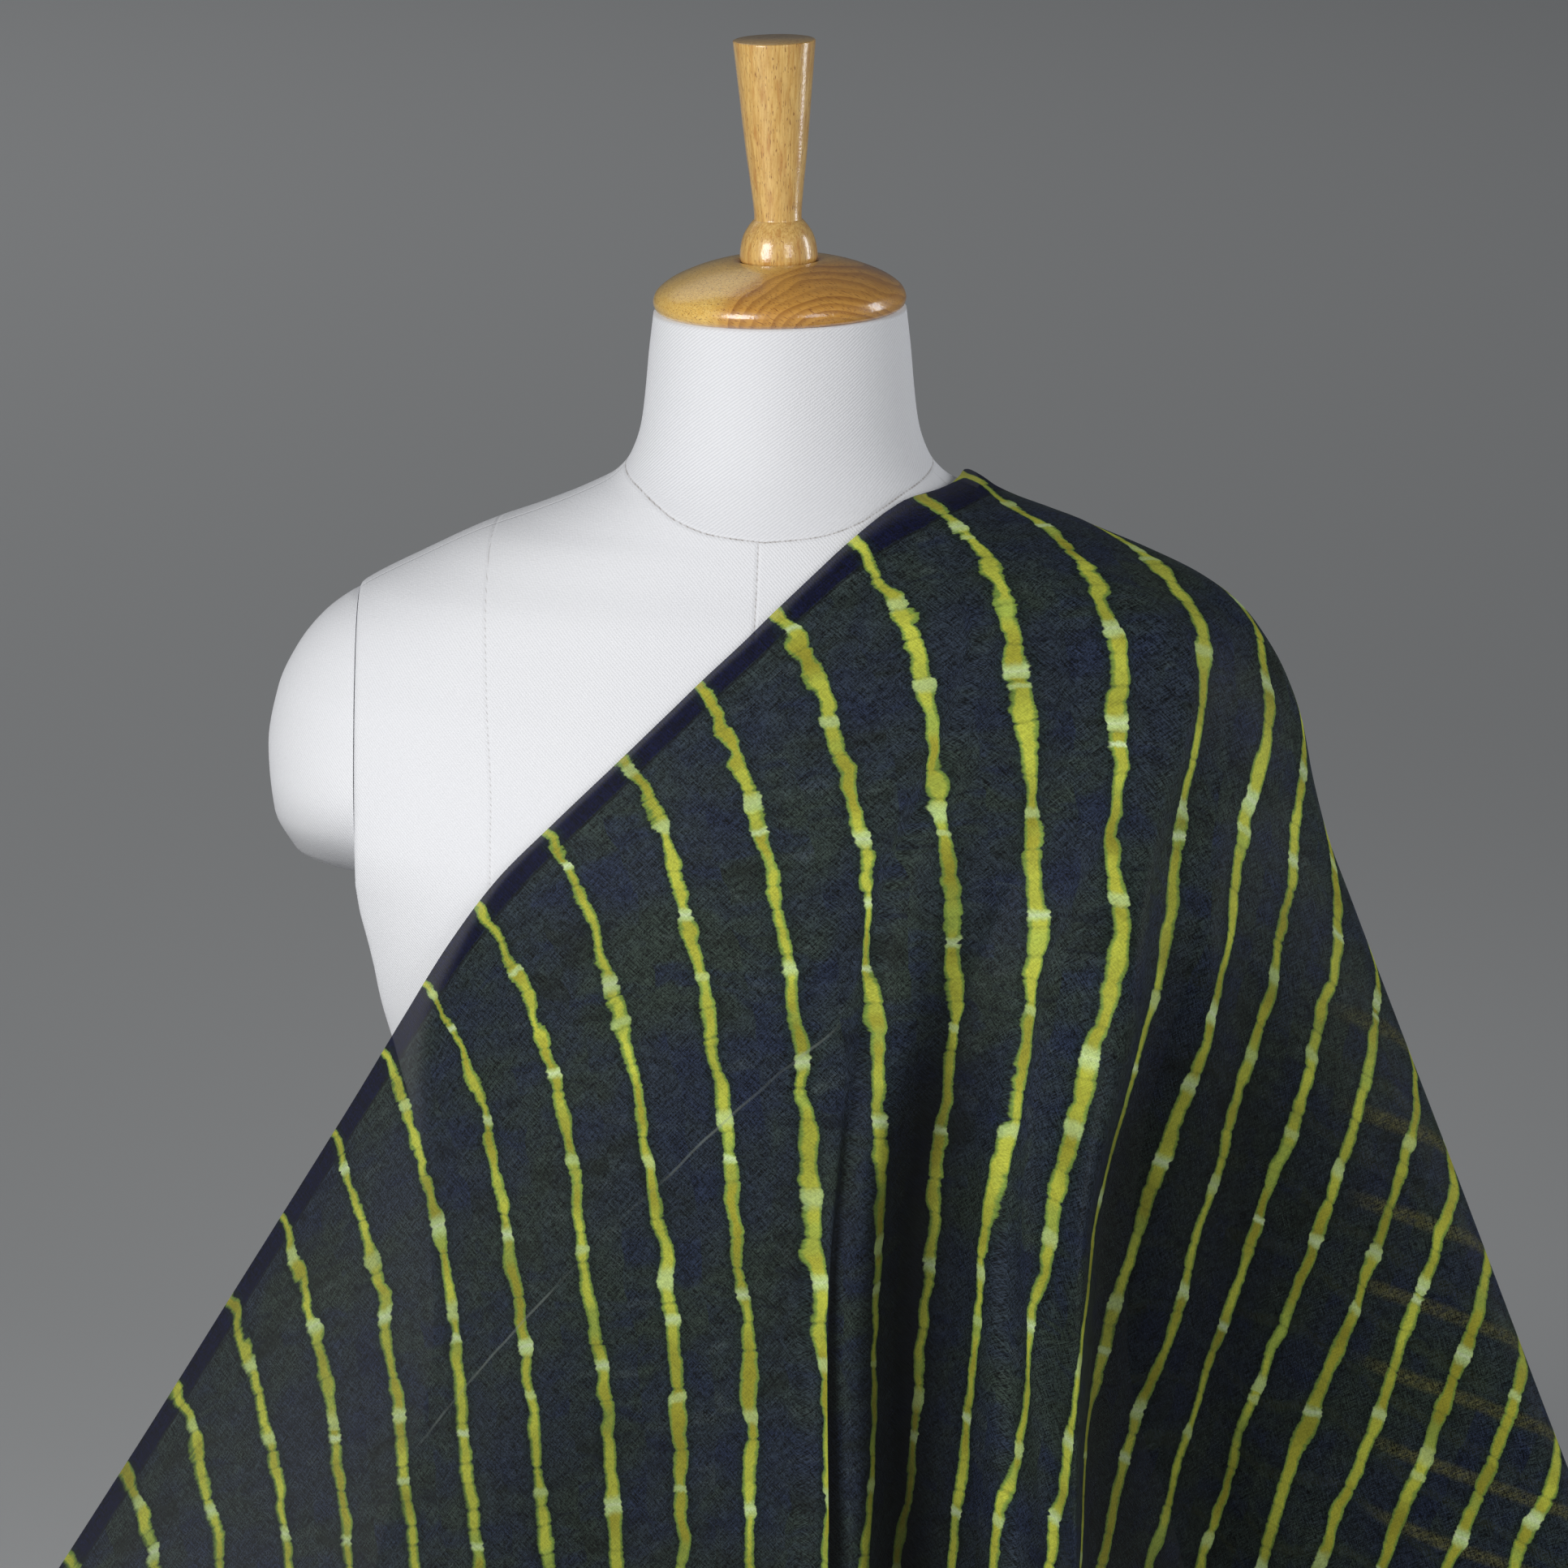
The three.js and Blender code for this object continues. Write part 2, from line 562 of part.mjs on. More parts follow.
const part = new THREE.Group();
function add(name, g, material, z = 0) {
  const mesh = new THREE.Mesh(g, material);
  mesh.name = name;
  mesh.position.z = z;
  part.add(mesh);
  return mesh;
}
add("form_torso", torsoGeometry(), canvas);
add("arm_pad_right", padGeometry(-1), canvas);
add("arm_pad_left", padGeometry(1), canvas);
add("neck_cap", turned(CAP, 32, NECK_TOP_Z), wood, NECK_TOP_Z).rotation.y = WOOD_TILT;
add("finial", turned(FINIAL, 24, NECK_TOP_Z), wood, NECK_TOP_Z).rotation.y = WOOD_TILT;
add("silk_cloth", clothGeometry(), silk);

export default part;
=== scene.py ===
# Leheriya silk over a dress form: the looks, in metres, in the frame's own place.
import math

import bpy
import numpy as np
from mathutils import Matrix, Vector


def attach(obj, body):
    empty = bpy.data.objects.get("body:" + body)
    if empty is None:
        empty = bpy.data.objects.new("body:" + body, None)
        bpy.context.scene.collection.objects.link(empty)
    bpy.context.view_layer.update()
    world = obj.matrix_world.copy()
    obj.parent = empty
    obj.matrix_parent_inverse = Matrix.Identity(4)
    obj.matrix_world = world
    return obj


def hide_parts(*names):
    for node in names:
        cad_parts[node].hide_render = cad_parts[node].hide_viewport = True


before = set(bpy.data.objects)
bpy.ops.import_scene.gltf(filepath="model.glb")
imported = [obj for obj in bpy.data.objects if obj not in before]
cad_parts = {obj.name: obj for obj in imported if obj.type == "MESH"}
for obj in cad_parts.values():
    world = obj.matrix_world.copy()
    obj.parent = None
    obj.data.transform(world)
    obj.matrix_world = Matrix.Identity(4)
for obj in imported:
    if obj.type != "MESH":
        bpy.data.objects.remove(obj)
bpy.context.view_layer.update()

# ---------------------------------------------------------------- camera ----
AZIMUTH, ELEVATION, DISTANCE = math.radians(5.2), math.radians(12.5), 4.0
TARGET = Vector((0.00175, 0.0, 0.4579))
LENS = 212.42


def make_camera():
    data = bpy.data.cameras.new("camera")
    data.lens, data.sensor_width = LENS, 36.0
    data.clip_start, data.clip_end = 0.1, 60.0
    cam = bpy.data.objects.new("camera", data)
    bpy.context.scene.collection.objects.link(cam)
    ahead = Vector(
        (
            -math.sin(AZIMUTH) * math.cos(ELEVATION),
            math.cos(AZIMUTH) * math.cos(ELEVATION),
            -math.sin(ELEVATION),
        )
    )
    cam.location = TARGET - ahead * DISTANCE
    cam.rotation_mode = "QUATERNION"
    cam.rotation_quaternion = ahead.to_track_quat("-Z", "Y")
    bpy.context.scene.camera = cam


make_camera()

# ------------------------------------------------------- tables, in mm ------
NECK_TOP_Z, HEM_Z, ARMHOLE_X, CREST_Y, GAP = 665.6, 45.0, 182.0, 4.0, 0.3
ARMHOLE_TOE = 0.09  # the plates turn in towards the front
PAD_ROUND = (480, 62)  # the lower end of a pad is round: from this level, by this much
CLOTH_CLEAR = 3.6
RIDGE_TOP = (77.3, 3.0, 594.4)
# z, half width, depth in front, depth behind, exponent of the section
BODY = [
    (665.6, 54.1, 53.1, 55.1, 2),
    (648, 56.1, 55.1, 57.2, 2),
    (632, 57.5, 56.6, 59.2, 2),
    (617, 59.4, 58.2, 62.0, 2),
    (602.5, 64.3, 61.2, 66.0, 2),
    (594, 71.5, 64.4, 69.0, 1.97),
    (585.8, 87.0, 67.9, 73.0, 1.92),
    (577.7, 107.0, 71.6, 77.8, 1.9),
    (569.7, 129.0, 75.4, 82.4, 1.95),
    (557.5, 154.7, 81.5, 88.3, 2),
    (543.7, 181.0, 89.6, 94.6, 2.05),
    (530.2, 198.5, 95.3, 98.8, 2.1),
    (516, 209.5, 101.5, 102.0, 2.15),
    (499, 217.4, 108.7, 105.0, 2.2),
    (474, 221.8, 117.5, 106.0, 2.2),
    (446, 219.4, 124.0, 103.0, 2.2),
    (431, 212.0, 126.0, 101.0, 2.2),
    (420, 205.0, 126.5, 99.5, 2.2),
    (410, 199.5, 126.3, 98.0, 2.2),
    (398, 193.5, 125.5, 96.2, 2.2),
    (373, 183.5, 121.0, 92.0, 2.2),
    (345, 171.5, 114.5, 87.0, 2.2),
    (300, 158.5, 105.0, 80.0, 2.2),
    (250, 153.0, 101.0, 76.0, 2.2),
    (215, 152.0, 101.0, 78.0, 2.2),
    (180, 156.0, 104.0, 86.0, 2.2),
    (130, 172.0, 110.0, 101.0, 2.2),
    (80, 182.0, 114.0, 110.0, 2.2),
    (0, 184.0, 115.0, 110.0, 2.2),
]
# the flat side runs on from the armhole plate to the waist: z, x at the axis
SIDE = [(426, 182), (413, 180.4), (402, 178), (388, 175.2), (373, 173), (345, 167), (300, 159), (250, 160)]
CAP = [  # z, r
    (666.0, 51.6),
    (667.2, 53.2),
    (670.2, 54.2),
    (673.4, 53.3),
    (677.8, 48.9),
    (682.2, 40.4),
    (685.8, 29.8),
    (687.2, 23.2),
    (687.5, 19.2),
    (687.0, 17.3),
    (685.1, 16.1),
]
FINIAL = [  # z, r
    (685.4, 15.0),
    (687.0, 16.2),
    (689.2, 16.7),
    (691.6, 16.5),
    (694.6, 16.0),
    (698.2, 14.9),
    (701.8, 12.8),
    (704.4, 10.7),
    (704.9, 10.2),
    (705.4, 10.15),
    (717.0, 11.1),
    (733.0, 13.0),
    (748.0, 14.5),
    (763.0, 15.9),
    (776.3, 17.2),
    (781.2, 17.6),
    (781.6, 17.4),
    (781.8, 17.0),
]
WOOD_TILT = math.radians(-1.2)  # the neck is cut a little askew, and the wood leans with it
# z, selvedge x, crest x, span to the left, belly depth, belly x, hump depth, hump x, back selvedge x, roundness
LEVELS = [
    (594.4, 77.3, 77.3, 78, 66, 0, 71, 0, 77.3, 1.0),
    (593.8, 61, 80.4, 82, 68, 0, 73, 0, 78.1, 1.0),
    (591.2, 53.25, 87, 89, 70, 0, 76, 0, 81, 1.0),
    (585.7, 44.5, 95.5, 98, 72, 0, 79, 0, 83, 1.0),
    (580.7, 38, 106.5, 109, 74, 0, 81.5, 0, 82, 1.0),
    (574.7, 30.75, 124, 124, 77, 0, 84.5, 0, 79, 1.0),
    (567.7, 23, 142, 142, 81, 0, 88, 0, 73, 1.0),
    (559.7, 14.25, 162, 159, 85, 0, 92, 0, 65, 1.0),
    (549.8, 3.5, 183, 178, 91.5, 0, 96, 0, 56, 1.0),
    (538.9, -7.75, 198, 195, 96, 0, 100, 0, 46.5, 1.0),
    (525.8, -22, 208.5, 208, 101.2, 0, 104, 0, 36.5, 1.0),
    (509.6, -38.75, 217.6, 217, 108, 0, 107, 0, 26, 1.0),
    (489.0, -60.0, 225.0, 223, 116, 0, 109.5, 0, 14.5, 1.0),
    (465.0, -85.0, 229.8, 225, 124, 0, 110, 0, 3.0, 0.97),
    (440.0, -109.2, 236.2, 221, 130, 2, 110, 0, -9.0, 0.88),
    (410.0, -130.8, 247.4, 214, 134.5, 5, 112, 2, -22.5, 0.7),
    (375.0, -151.8, 260.9, 208, 138, 10, 115, 6, -38.0, 0.48),
    (335.0, -175.2, 276.5, 222, 140.5, 14, 119, 12, -54.5, 0.28),
    (290.0, -202.5, 294.1, 250, 143, 18, 124, 18, -72.0, 0.12),
    (240.0, -233.2, 313.3, 290, 144.5, 22, 129, 22, -90.0, 0.05),
    (190.0, -263.8, 332.5, 328, 147, 24, 134, 26, -107.5, 0.02),
    (140.0, -294.7, 351.8, 366, 150, 26, 139, 28, -124.5, 0.0),
    (90.0, -325.4, 371.0, 404, 153, 28, 144, 30, -141.0, 0.0),
    (45.0, -353.2, 388.3, 438, 155.5, 30, 148, 32, -155.0, 0.0),
]
FOLD_RADIUS = [(45, 8), (250, 9), (380, 13), (480, 24), (560, 12), (602, 3)]  # z, r
# the folds: name, share of the way across at each fold level, how far it stands out there, lift of the hem
FOLD_LEVELS = (540, 470, 400, 300, 150, 45)
FOLDS_BEGIN = (585, 540)  # the folds grow out of the smooth shoulder between these heights
FRONT = [
    ("selvedge", (0, 0, 0, 0, 0, 0), (0, 0, 0, 0, 0, 0), 4),
    ("left_dip", (0.11, 0.115, 0.125, 0.13, 0.13, 0.13), (0, 0, 0, -2, -6, -7), 0),
    ("left_swell", (0.23, 0.235, 0.245, 0.25, 0.26, 0.26), (0, 0, 0, 2, 5, 6), 3),
    ("mid_dip", (0.33, 0.335, 0.345, 0.36, 0.38, 0.39), (0, 0, 0, -2, -5, -6), 0),
    ("pleat_back", (0.41, 0.415, 0.42, 0.458, 0.495, 0.51), (0, 0, 0, -1, -3, -3), 0),
    ("pleat_edge", (0.45, 0.455, 0.463, 0.476, 0.508, 0.525), (0, 0, 0, 2, 4, 5), 1),
    ("pleat_foot", (0.47, 0.472, 0.478, 0.4785, 0.504, 0.52), (0, 0, 0, -3, -11, -13), 2),
    ("band", (0.54, 0.535, 0.52, 0.5, 0.525, 0.54), (0, 3, 4, 1, -2, -3), 2),
    ("valley", (0.64, 0.62, 0.582, 0.543, 0.553, 0.56), (0, 0, -3, -25, -35, -38), 5),
    ("valley_side", (0.7, 0.67, 0.615, 0.575, 0.589, 0.597), (4, 6, 4, -13, -19, -21), 4),
    ("ridge", (0.75, 0.715, 0.648, 0.626, 0.633, 0.636), (8, 10, 14, 21, 19, 19), 0),
    ("dip", (0.79, 0.745, 0.672, 0.642, 0.651, 0.655), (10, 14, 22, 23, 20, 19), 0),
    ("crease_top", (0.905, 0.81, 0.765, 0.697, 0.675, 0.672), (18, 18, 57, 65, 55, 52), 0),
    ("crease_foot", (0.925, 0.84, 0.796, 0.709, 0.68, 0.676), (14, 6, 33, 42, 30, 28), 4),
    ("right_swell", (0.955, 0.888, 0.845, 0.77, 0.729, 0.72), (8, 5, 30, 33, 11, 6), 5),
    ("hollow", (0.97, 0.925, 0.876, 0.83, 0.77, 0.76), (4, 3, 15, 22, 0, -4), 6),
    ("fin", (0.985, 0.975, 0.93, 0.895, 0.82, 0.81), (0, -2, 7, 17, -1, -5), 5),
    ("crest", (1, 1, 1, 1, 1, 1), (0, 0, 0, 0, 0, 0), 6),
]
BACK = [
    ("crest", (0.0, 0.0, 0.0, 0.0, 0.0, 0.0), (0, 0, 0, 0, 0, 0), 6),
    ("flat", (0.15, 0.15, 0.15, 0.15, 0.15, 0.15), (0, 0, 0, 0, 0, 0), 4),
    ("ridge_1", (0.23, 0.231, 0.232, 0.233, 0.236, 0.236), (0, 0, 2, 6, 12, 17), 0),
    ("trough_1", (0.29, 0.292, 0.294, 0.296, 0.299, 0.299), (0, 0, -3, -7, -16, -22), 3),
    ("ridge_2", (0.38, 0.38, 0.379, 0.377, 0.381, 0.38), (0, 1, 5, 12, 24, 33), 0),
    ("trough_2", (0.45, 0.453, 0.46, 0.467, 0.467, 0.469), (0, -1, -4, -9, -19, -27), 5),
    ("ridge_3", (0.52, 0.523, 0.53, 0.536, 0.531, 0.531), (0, 1, 5, 11, 22, 30), 2),
    ("trough_3", (0.61, 0.61, 0.607, 0.604, 0.594, 0.591), (0, 0, -4, -9, -20, -28), 10),
    ("ridge_4", (0.71, 0.709, 0.706, 0.703, 0.695, 0.692), (0, 2, 6, 15, 29, 40), 10),
    ("trough_4", (0.79, 0.789, 0.79, 0.791, 0.791, 0.793), (0, 0, -3, -9, -18, -26), 20),
    ("ridge_5", (0.85, 0.852, 0.856, 0.86, 0.867, 0.869), (0, 1, 5, 11, 22, 31), 26),
    ("trough_5", (0.93, 0.931, 0.931, 0.932, 0.933, 0.933), (0, 0, -2, -5, -11, -16), 38),
    ("back_selvedge", (1.0, 1.0, 1.0, 1.0, 1.0, 1.0), (0, 0, 2, 5, 10, 14), 50),
]
# stripes: distance from the selvedge, angle between stripe and selvedge
STRIPE_ANGLE = [(0, 80), (20, 70), (45, 58), (80, 52), (150, 49), (250, 47), (400, 45), (600, 43)]
STRIPE_PITCH = 45  # along the selvedge
STRIPE_START = 0
# seams of the form: height of the neck seam round the neck (degrees from the front), place of the princess seam
NECK_SEAM = [(0, 577.9), (18, 580.0), (33, 584.9), (42, 589.2), (58, 594.8), (90, 600.0), (135, 602.0), (180, 602.0)]
PRINCESS = [(0, 100), (215, 86), (300, 96), (433, 112.9), (467, 112.9), (509, 116.2), (547, 119.6), (575, 122.2), (600, 124)]


# ---------------------------------------------------------------- helpers ---
def curve(table, by, column):
    """A monotone cubic through a table's column."""
    t = sorted(table, key=lambda r: r[by])
    x = np.array([r[by] for r in t], float)
    y = np.array([r[column] for r in t], float)
    h, n = np.diff(x), len(x)
    d, m = np.diff(y) / h, np.zeros(n)
    for i in range(1, n - 1):
        if d[i - 1] * d[i] > 0:
            a, b = 2 * h[i] + h[i - 1], h[i] + 2 * h[i - 1]
            m[i] = (a + b) / (a / d[i - 1] + b / d[i])
    m[0], m[-1] = d[0], d[-1]

    def at(v):
        v = np.clip(np.asarray(v, float), x[0], x[-1])
        i = np.clip(np.searchsorted(x, v, side="right") - 1, 0, n - 2)
        s = (v - x[i]) / h[i]
        return (
            (1 + 2 * s) * (1 - s) ** 2 * y[i]
            + s * (1 - s) ** 2 * h[i] * m[i]
            + s * s * (3 - 2 * s) * y[i + 1]
            + s * s * (s - 1) * h[i] * m[i + 1]
        )

    return at


def smooth(t):
    t = np.clip(t, 0, 1)
    return t * t * (3 - 2 * t)


half, front, back, power = (curve(BODY, 0, k) for k in (1, 2, 3, 4))
LEVEL = {
    name: curve(LEVELS, 0, k + 1)
    for k, name in enumerate(
        ["sel", "crest", "left", "belly", "belly_x", "hump", "hump_x", "back", "round"]
    )
}
fold_radius = curve(FOLD_RADIUS, 0, 1)


def mesh_object(name, verts, faces, uvs=None, smooth_shade=True):
    """verts in mm; uvs is {layer: (n, 2)} a vertex."""
    me = bpy.data.meshes.new(name)
    me.from_pydata((np.asarray(verts) * 0.001).tolist(), [], faces.tolist() if hasattr(faces, "tolist") else faces)
    me.validate()
    loops = np.empty(len(me.loops), np.int32)
    me.loops.foreach_get("vertex_index", loops)
    for layer, values in (uvs or {}).items():
        uv = me.uv_layers.new(name=layer)
        uv.data.foreach_set("uv", np.asarray(values, np.float32)[loops].ravel())
    if smooth_shade:
        me.polygons.foreach_set("use_smooth", np.ones(len(me.polygons), bool))
    ob = bpy.data.objects.new(name, me)
    bpy.context.scene.collection.objects.link(ob)
    return ob


def grid_faces(n, m, wrap=False):
    i, j = np.meshgrid(np.arange(n - 1), np.arange(m if wrap else m - 1), indexing="ij")
    a = i * m + j
    b = i * m + (j + 1) % m
    return np.stack([a, b, b + m, a + m], -1).reshape(-1, 4)


# ---------------------------------------------------------- cloth's shape ---
def half_gap(xi, depth, r, rnd, span):
    xi = np.clip(xi, 0, 1)
    ellipse = depth * np.sqrt(np.clip(1 - xi**2.1, 0, 1))
    fin = r + (depth - r) * (
        0.4 * np.clip(0.5 + 0.5 * np.cos(np.pi * xi**1.15), 0, 1) ** 0.92 + 0.6 * (1 - xi**1.5)
    )
    edge = np.clip((xi * span - (span - r)) / r, 0, 1)
    fin = fin * np.sqrt(np.clip(1 - edge * edge, 0, 1))
    return rnd * ellipse + (1 - rnd) * fin


def sheet_depth(x, z, face):
    full = LEVEL["belly"](z) + CREST_Y if face < 0 else LEVEL["hump"](z) - CREST_Y
    at = LEVEL["belly_x" if face < 0 else "hump_x"](z)
    span = np.maximum(LEVEL["crest"](z) - at, 1e-6)
    right = half_gap((x - at) / span, full, fold_radius(z), LEVEL["round"](z), span)
    left = full * np.clip(1 - (np.clip(at - x, 0, None) / LEVEL["left"](z)) ** 2.2, 0, 1) ** (1 / 2.2)
    return CREST_Y + face * np.where(x > at, right, left)


def fold_curves(rows):
    by_level = lambda values: curve(list(zip(FOLD_LEVELS, values)), 0, 1)
    return [(by_level(at), by_level(out), rise) for _, at, out, rise in rows]


FOLDS = {-1: fold_curves(FRONT), 1: fold_curves(BACK)}


def slopes(values, run):
    """Slopes of a monotone cubic through knots (first axis), run apart."""
    d = np.diff(values, axis=0) / run
    m = np.empty_like(values)
    a, b = 2 * run[1:] + run[:-1], run[1:] + 2 * run[:-1]
    same = d[:-1] * d[1:] > 0
    safe = lambda q: np.where(same, q, 1.0)
    m[1:-1] = np.where(same, (a + b) / (a / safe(d[:-1]) + b / safe(d[1:])), 0.0)
    m[0], m[-1] = d[0], d[-1]
    return m


def form_level(p):
    z = np.clip(p[..., 2], 0, NECK_TOP_Z)
    depth, e = np.where(p[..., 1] < 0, front(z), back(z)), power(z)
    return ((np.abs(p[..., 0]) / half(z)) ** e + (np.abs(p[..., 1]) / depth) ** e) ** (1 / e)


def clear_of_form(p):
    for _ in range(4):
        clear = CLOTH_CLEAR - 1.1 * smooth((p[..., 2] - 575) / 15)  # the cloth lies closest at the neck
        at = form_level(p)
        slope = np.stack(
            [form_level(p + np.eye(3)[i] * 0.5) - form_level(p - np.eye(3)[i] * 0.5) for i in range(3)], -1
        )
        size = np.linalg.norm(slope, axis=-1) + 1e-9
        short = np.clip(clear - (at - 1) / size, 0, None)
        p = p + slope / size[..., None] * short[..., None]
    return p


def sheet_points(s, z):
    """s runs over the front's folds, selvedge to crest, and then over the back's."""
    n_front = len(FRONT) - 1
    s, z = np.broadcast_arrays(np.asarray(s, float), np.asarray(z, float))
    out = np.zeros(s.shape + (3,))
    for face, n in ((-1, n_front), (1, len(BACK) - 1)):
        use = s <= n_front if face < 0 else s > n_front
        ss, zz = s[use], z[use]
        if not ss.size:
            continue
        loc = np.clip(ss if face < 0 else ss - n_front, 0, n)
        k = np.clip(np.floor(loc).astype(int), 0, n - 1)
        t = loc - k
        if face < 0:
            t = np.where(k == n - 1, np.sin(np.pi / 2 * t), t)
        else:
            t = np.where(k == 0, 1 - np.cos(np.pi / 2 * t), t)
        free, crest = LEVEL["sel" if face < 0 else "back"](zz), LEVEL["crest"](zz)
        start, end = (free, crest) if face < 0 else (crest, free)
        full = smooth((FOLDS_BEGIN[0] - zz) / (FOLDS_BEGIN[0] - FOLDS_BEGIN[1]))
        x = np.array([start + (end - start) * f[0](zz) for f in FOLDS[face]])
        d = np.array([full * f[1](zz) for f in FOLDS[face]])
        rise = np.array([f[2] for f in FOLDS[face]], float)
        run = np.hypot(np.diff(x, axis=0), np.diff(d, axis=0)) + 0.3
        pick = lambda q, i: np.take_along_axis(q, i[None, :], 0)[0]
        h = pick(run, k)
        w = [(1 + 2 * t) * (1 - t) ** 2, t * (1 - t) ** 2 * h, t * t * (3 - 2 * t), t * t * (t - 1) * h]
        xx, dd = (
            w[0] * pick(q, k) + w[1] * pick(m, k) + w[2] * pick(q, k + 1) + w[3] * pick(m, k + 1)
            for q, m in ((x, slopes(x, run)), (d, slopes(d, run)))
        )
        c = smooth(t)
        lift = (rise[k] * (1 - c) + rise[k + 1] * c) * np.clip((200 - zz) / 155, 0, 1) ** 2
        out[use] = np.stack([xx, sheet_depth(xx, zz, face) + face * dd, zz + lift], -1)
    return clear_of_form(out)


N_FRONT, N_BACK = len(FRONT) - 1, len(BACK) - 1
_s = np.linspace(0, N_FRONT + N_BACK, 4000)
_h = sheet_points(_s, 120.0)
_arc = np.concatenate([[0], np.cumsum(np.linalg.norm(np.diff(_h, axis=0), axis=1))])
_z = np.concatenate([np.linspace(LEVELS[0][0], 540, 400, endpoint=False), np.linspace(540, HEM_Z, 1200)])
_d = sheet_points(np.array([0.0, 4.0, 10.0, N_FRONT, N_FRONT + 6, N_FRONT + N_BACK])[None, :], _z[:, None])
_down = np.concatenate([[0], np.cumsum(np.linalg.norm(np.diff(_d, axis=0), axis=-1).mean(1))])


def columns_at(m):
    """m columns evenly spaced along the cloth's lower part."""
    return np.interp(np.linspace(0, _arc[-1], m), _arc, _s)


def rows_at(n):
    return np.interp(np.linspace(0, _down[-1], n), _down, _z)


# ----------------------------------------------------- the cloth laid flat --
def flatten(n, m, passes=70):
    """Flat coordinates (u from the selvedge, v along it) of an n by m grid on the drape, as rigid as possible, selvedges at their true length on u = 0."""
    s, z = columns_at(m), rows_at(n)
    p = sheet_points(s[None, :], z[:, None])
    p[0] = p[0].mean(0)
    ids = np.zeros((n, m), int)
    ids[1:] = 1 + np.arange((n - 1) * m).reshape(n - 1, m)
    x = np.concatenate([p[:1, 0], p[1:].reshape(-1, 3)])
    tri = []
    for i in range(n - 1):
        for j in range(m - 1):
            a, b, c, d = ids[i, j], ids[i, j + 1], ids[i + 1, j + 1], ids[i + 1, j]
            if i == 0:
                tri.append((a, c, d))
            elif (i + j) % 2:
                tri += [(a, b, c), (a, c, d)]
            else:
                tri += [(a, b, d), (b, c, d)]
    t = np.array(tri)
    e1, e2 = x[t[:, 1]] - x[t[:, 0]], x[t[:, 2]] - x[t[:, 0]]
    l1 = np.linalg.norm(e1, axis=1)
    loc = np.zeros((len(t), 3, 2))
    loc[:, 1, 0], loc[:, 2, 0] = l1, (e1 * e2).sum(1) / l1
    loc[:, 2, 1] = np.linalg.norm(np.cross(e1, e2), axis=1) / l1
    size = len(x)
    lap, cot = np.zeros((size, size)), np.zeros((len(t), 3))
    for k in range(3):
        i, j = (k + 1) % 3, (k + 2) % 3
        a, b = loc[:, i] - loc[:, k], loc[:, j] - loc[:, k]
        c = np.clip((a * b).sum(1) / np.abs(a[:, 0] * b[:, 1] - a[:, 1] * b[:, 0]), 0.02, 8)
        cot[:, k] = c
        for q, r, w in ((i, i, c), (j, j, c), (i, j, -c), (j, i, -c)):
            np.add.at(lap, (t[:, q], t[:, r]), w)
    run = lambda col: np.concatenate([[0], np.cumsum(np.linalg.norm(np.diff(p[:, col], axis=0), axis=1))])
    down = np.concatenate([np.zeros((1, m)), np.cumsum(np.linalg.norm(np.diff(p, axis=0), axis=-1), 0)])
    across = np.concatenate([np.zeros((n, 1)), np.cumsum(np.linalg.norm(np.diff(p, axis=1), axis=-1), 1)], 1)
    angle = np.pi * across / np.maximum(across[:, -1:], 1e-6)
    g = np.stack([down * np.sin(angle), down * np.cos(angle)], -1)
    g[:, 0] = np.stack([0 * run(0), run(0)], -1)
    g[:, -1] = np.stack([0 * run(-1), -run(-1)], -1)
    q = np.zeros((size, 2))
    q[ids[1:].ravel()] = g[1:].reshape(-1, 2)
    # the top point and both selvedges are held; the rest is solved row by row, since a row only meets its neighbours
    inner = ids[1:, 1:-1]
    meets = [lap[np.ix_(inner[i], inner[i - 1])] for i in range(1, n - 1)]
    blocks = []
    for i in range(n - 1):
        d = lap[np.ix_(inner[i], inner[i])]
        blocks.append(np.linalg.inv(d - meets[i - 1] @ blocks[i - 1] @ meets[i - 1].T if i else d))
    fixed = np.concatenate([[0], ids[1:, 0], ids[1:, -1]])
    held = lap[np.ix_(inner.ravel(), fixed)] @ q[fixed]

    def solve(y):
        y = y.reshape(n - 1, m - 2, 2).copy()
        for i in range(1, n - 1):
            y[i] -= meets[i - 1] @ (blocks[i - 1] @ y[i - 1])
        for i in range(n - 2, -1, -1):
            y[i] = blocks[i] @ (y[i] - meets[i].T @ y[i + 1] if i < n - 2 else y[i])
        return y.reshape(-1, 2)

    for _ in range(passes):
        cov = np.zeros((len(t), 2, 2))
        for k in range(3):
            i, j = (k + 1) % 3, (k + 2) % 3
            cov += cot[:, k, None, None] * np.einsum("na,nb->nab", q[t[:, i]] - q[t[:, j]], loc[:, i] - loc[:, j])
        c, s_ = cov[:, 0, 0] + cov[:, 1, 1], cov[:, 1, 0] - cov[:, 0, 1]
        h = np.hypot(c, s_) + 1e-12
        c, s_ = c / h, s_ / h
        turn = np.stack([np.stack([c, -s_], -1), np.stack([s_, c], -1)], -2)
        rhs = np.zeros((size, 2))
        for k in range(3):
            i, j = (k + 1) % 3, (k + 2) % 3
            d = cot[:, k, None] * np.einsum("nab,nb->na", turn, loc[:, i] - loc[:, j])
            np.add.at(rhs, t[:, i], d)
            np.add.at(rhs, t[:, j], -d)
        q[inner.ravel()] = solve(rhs[inner.ravel()] - held)
    return s, z, q[ids]


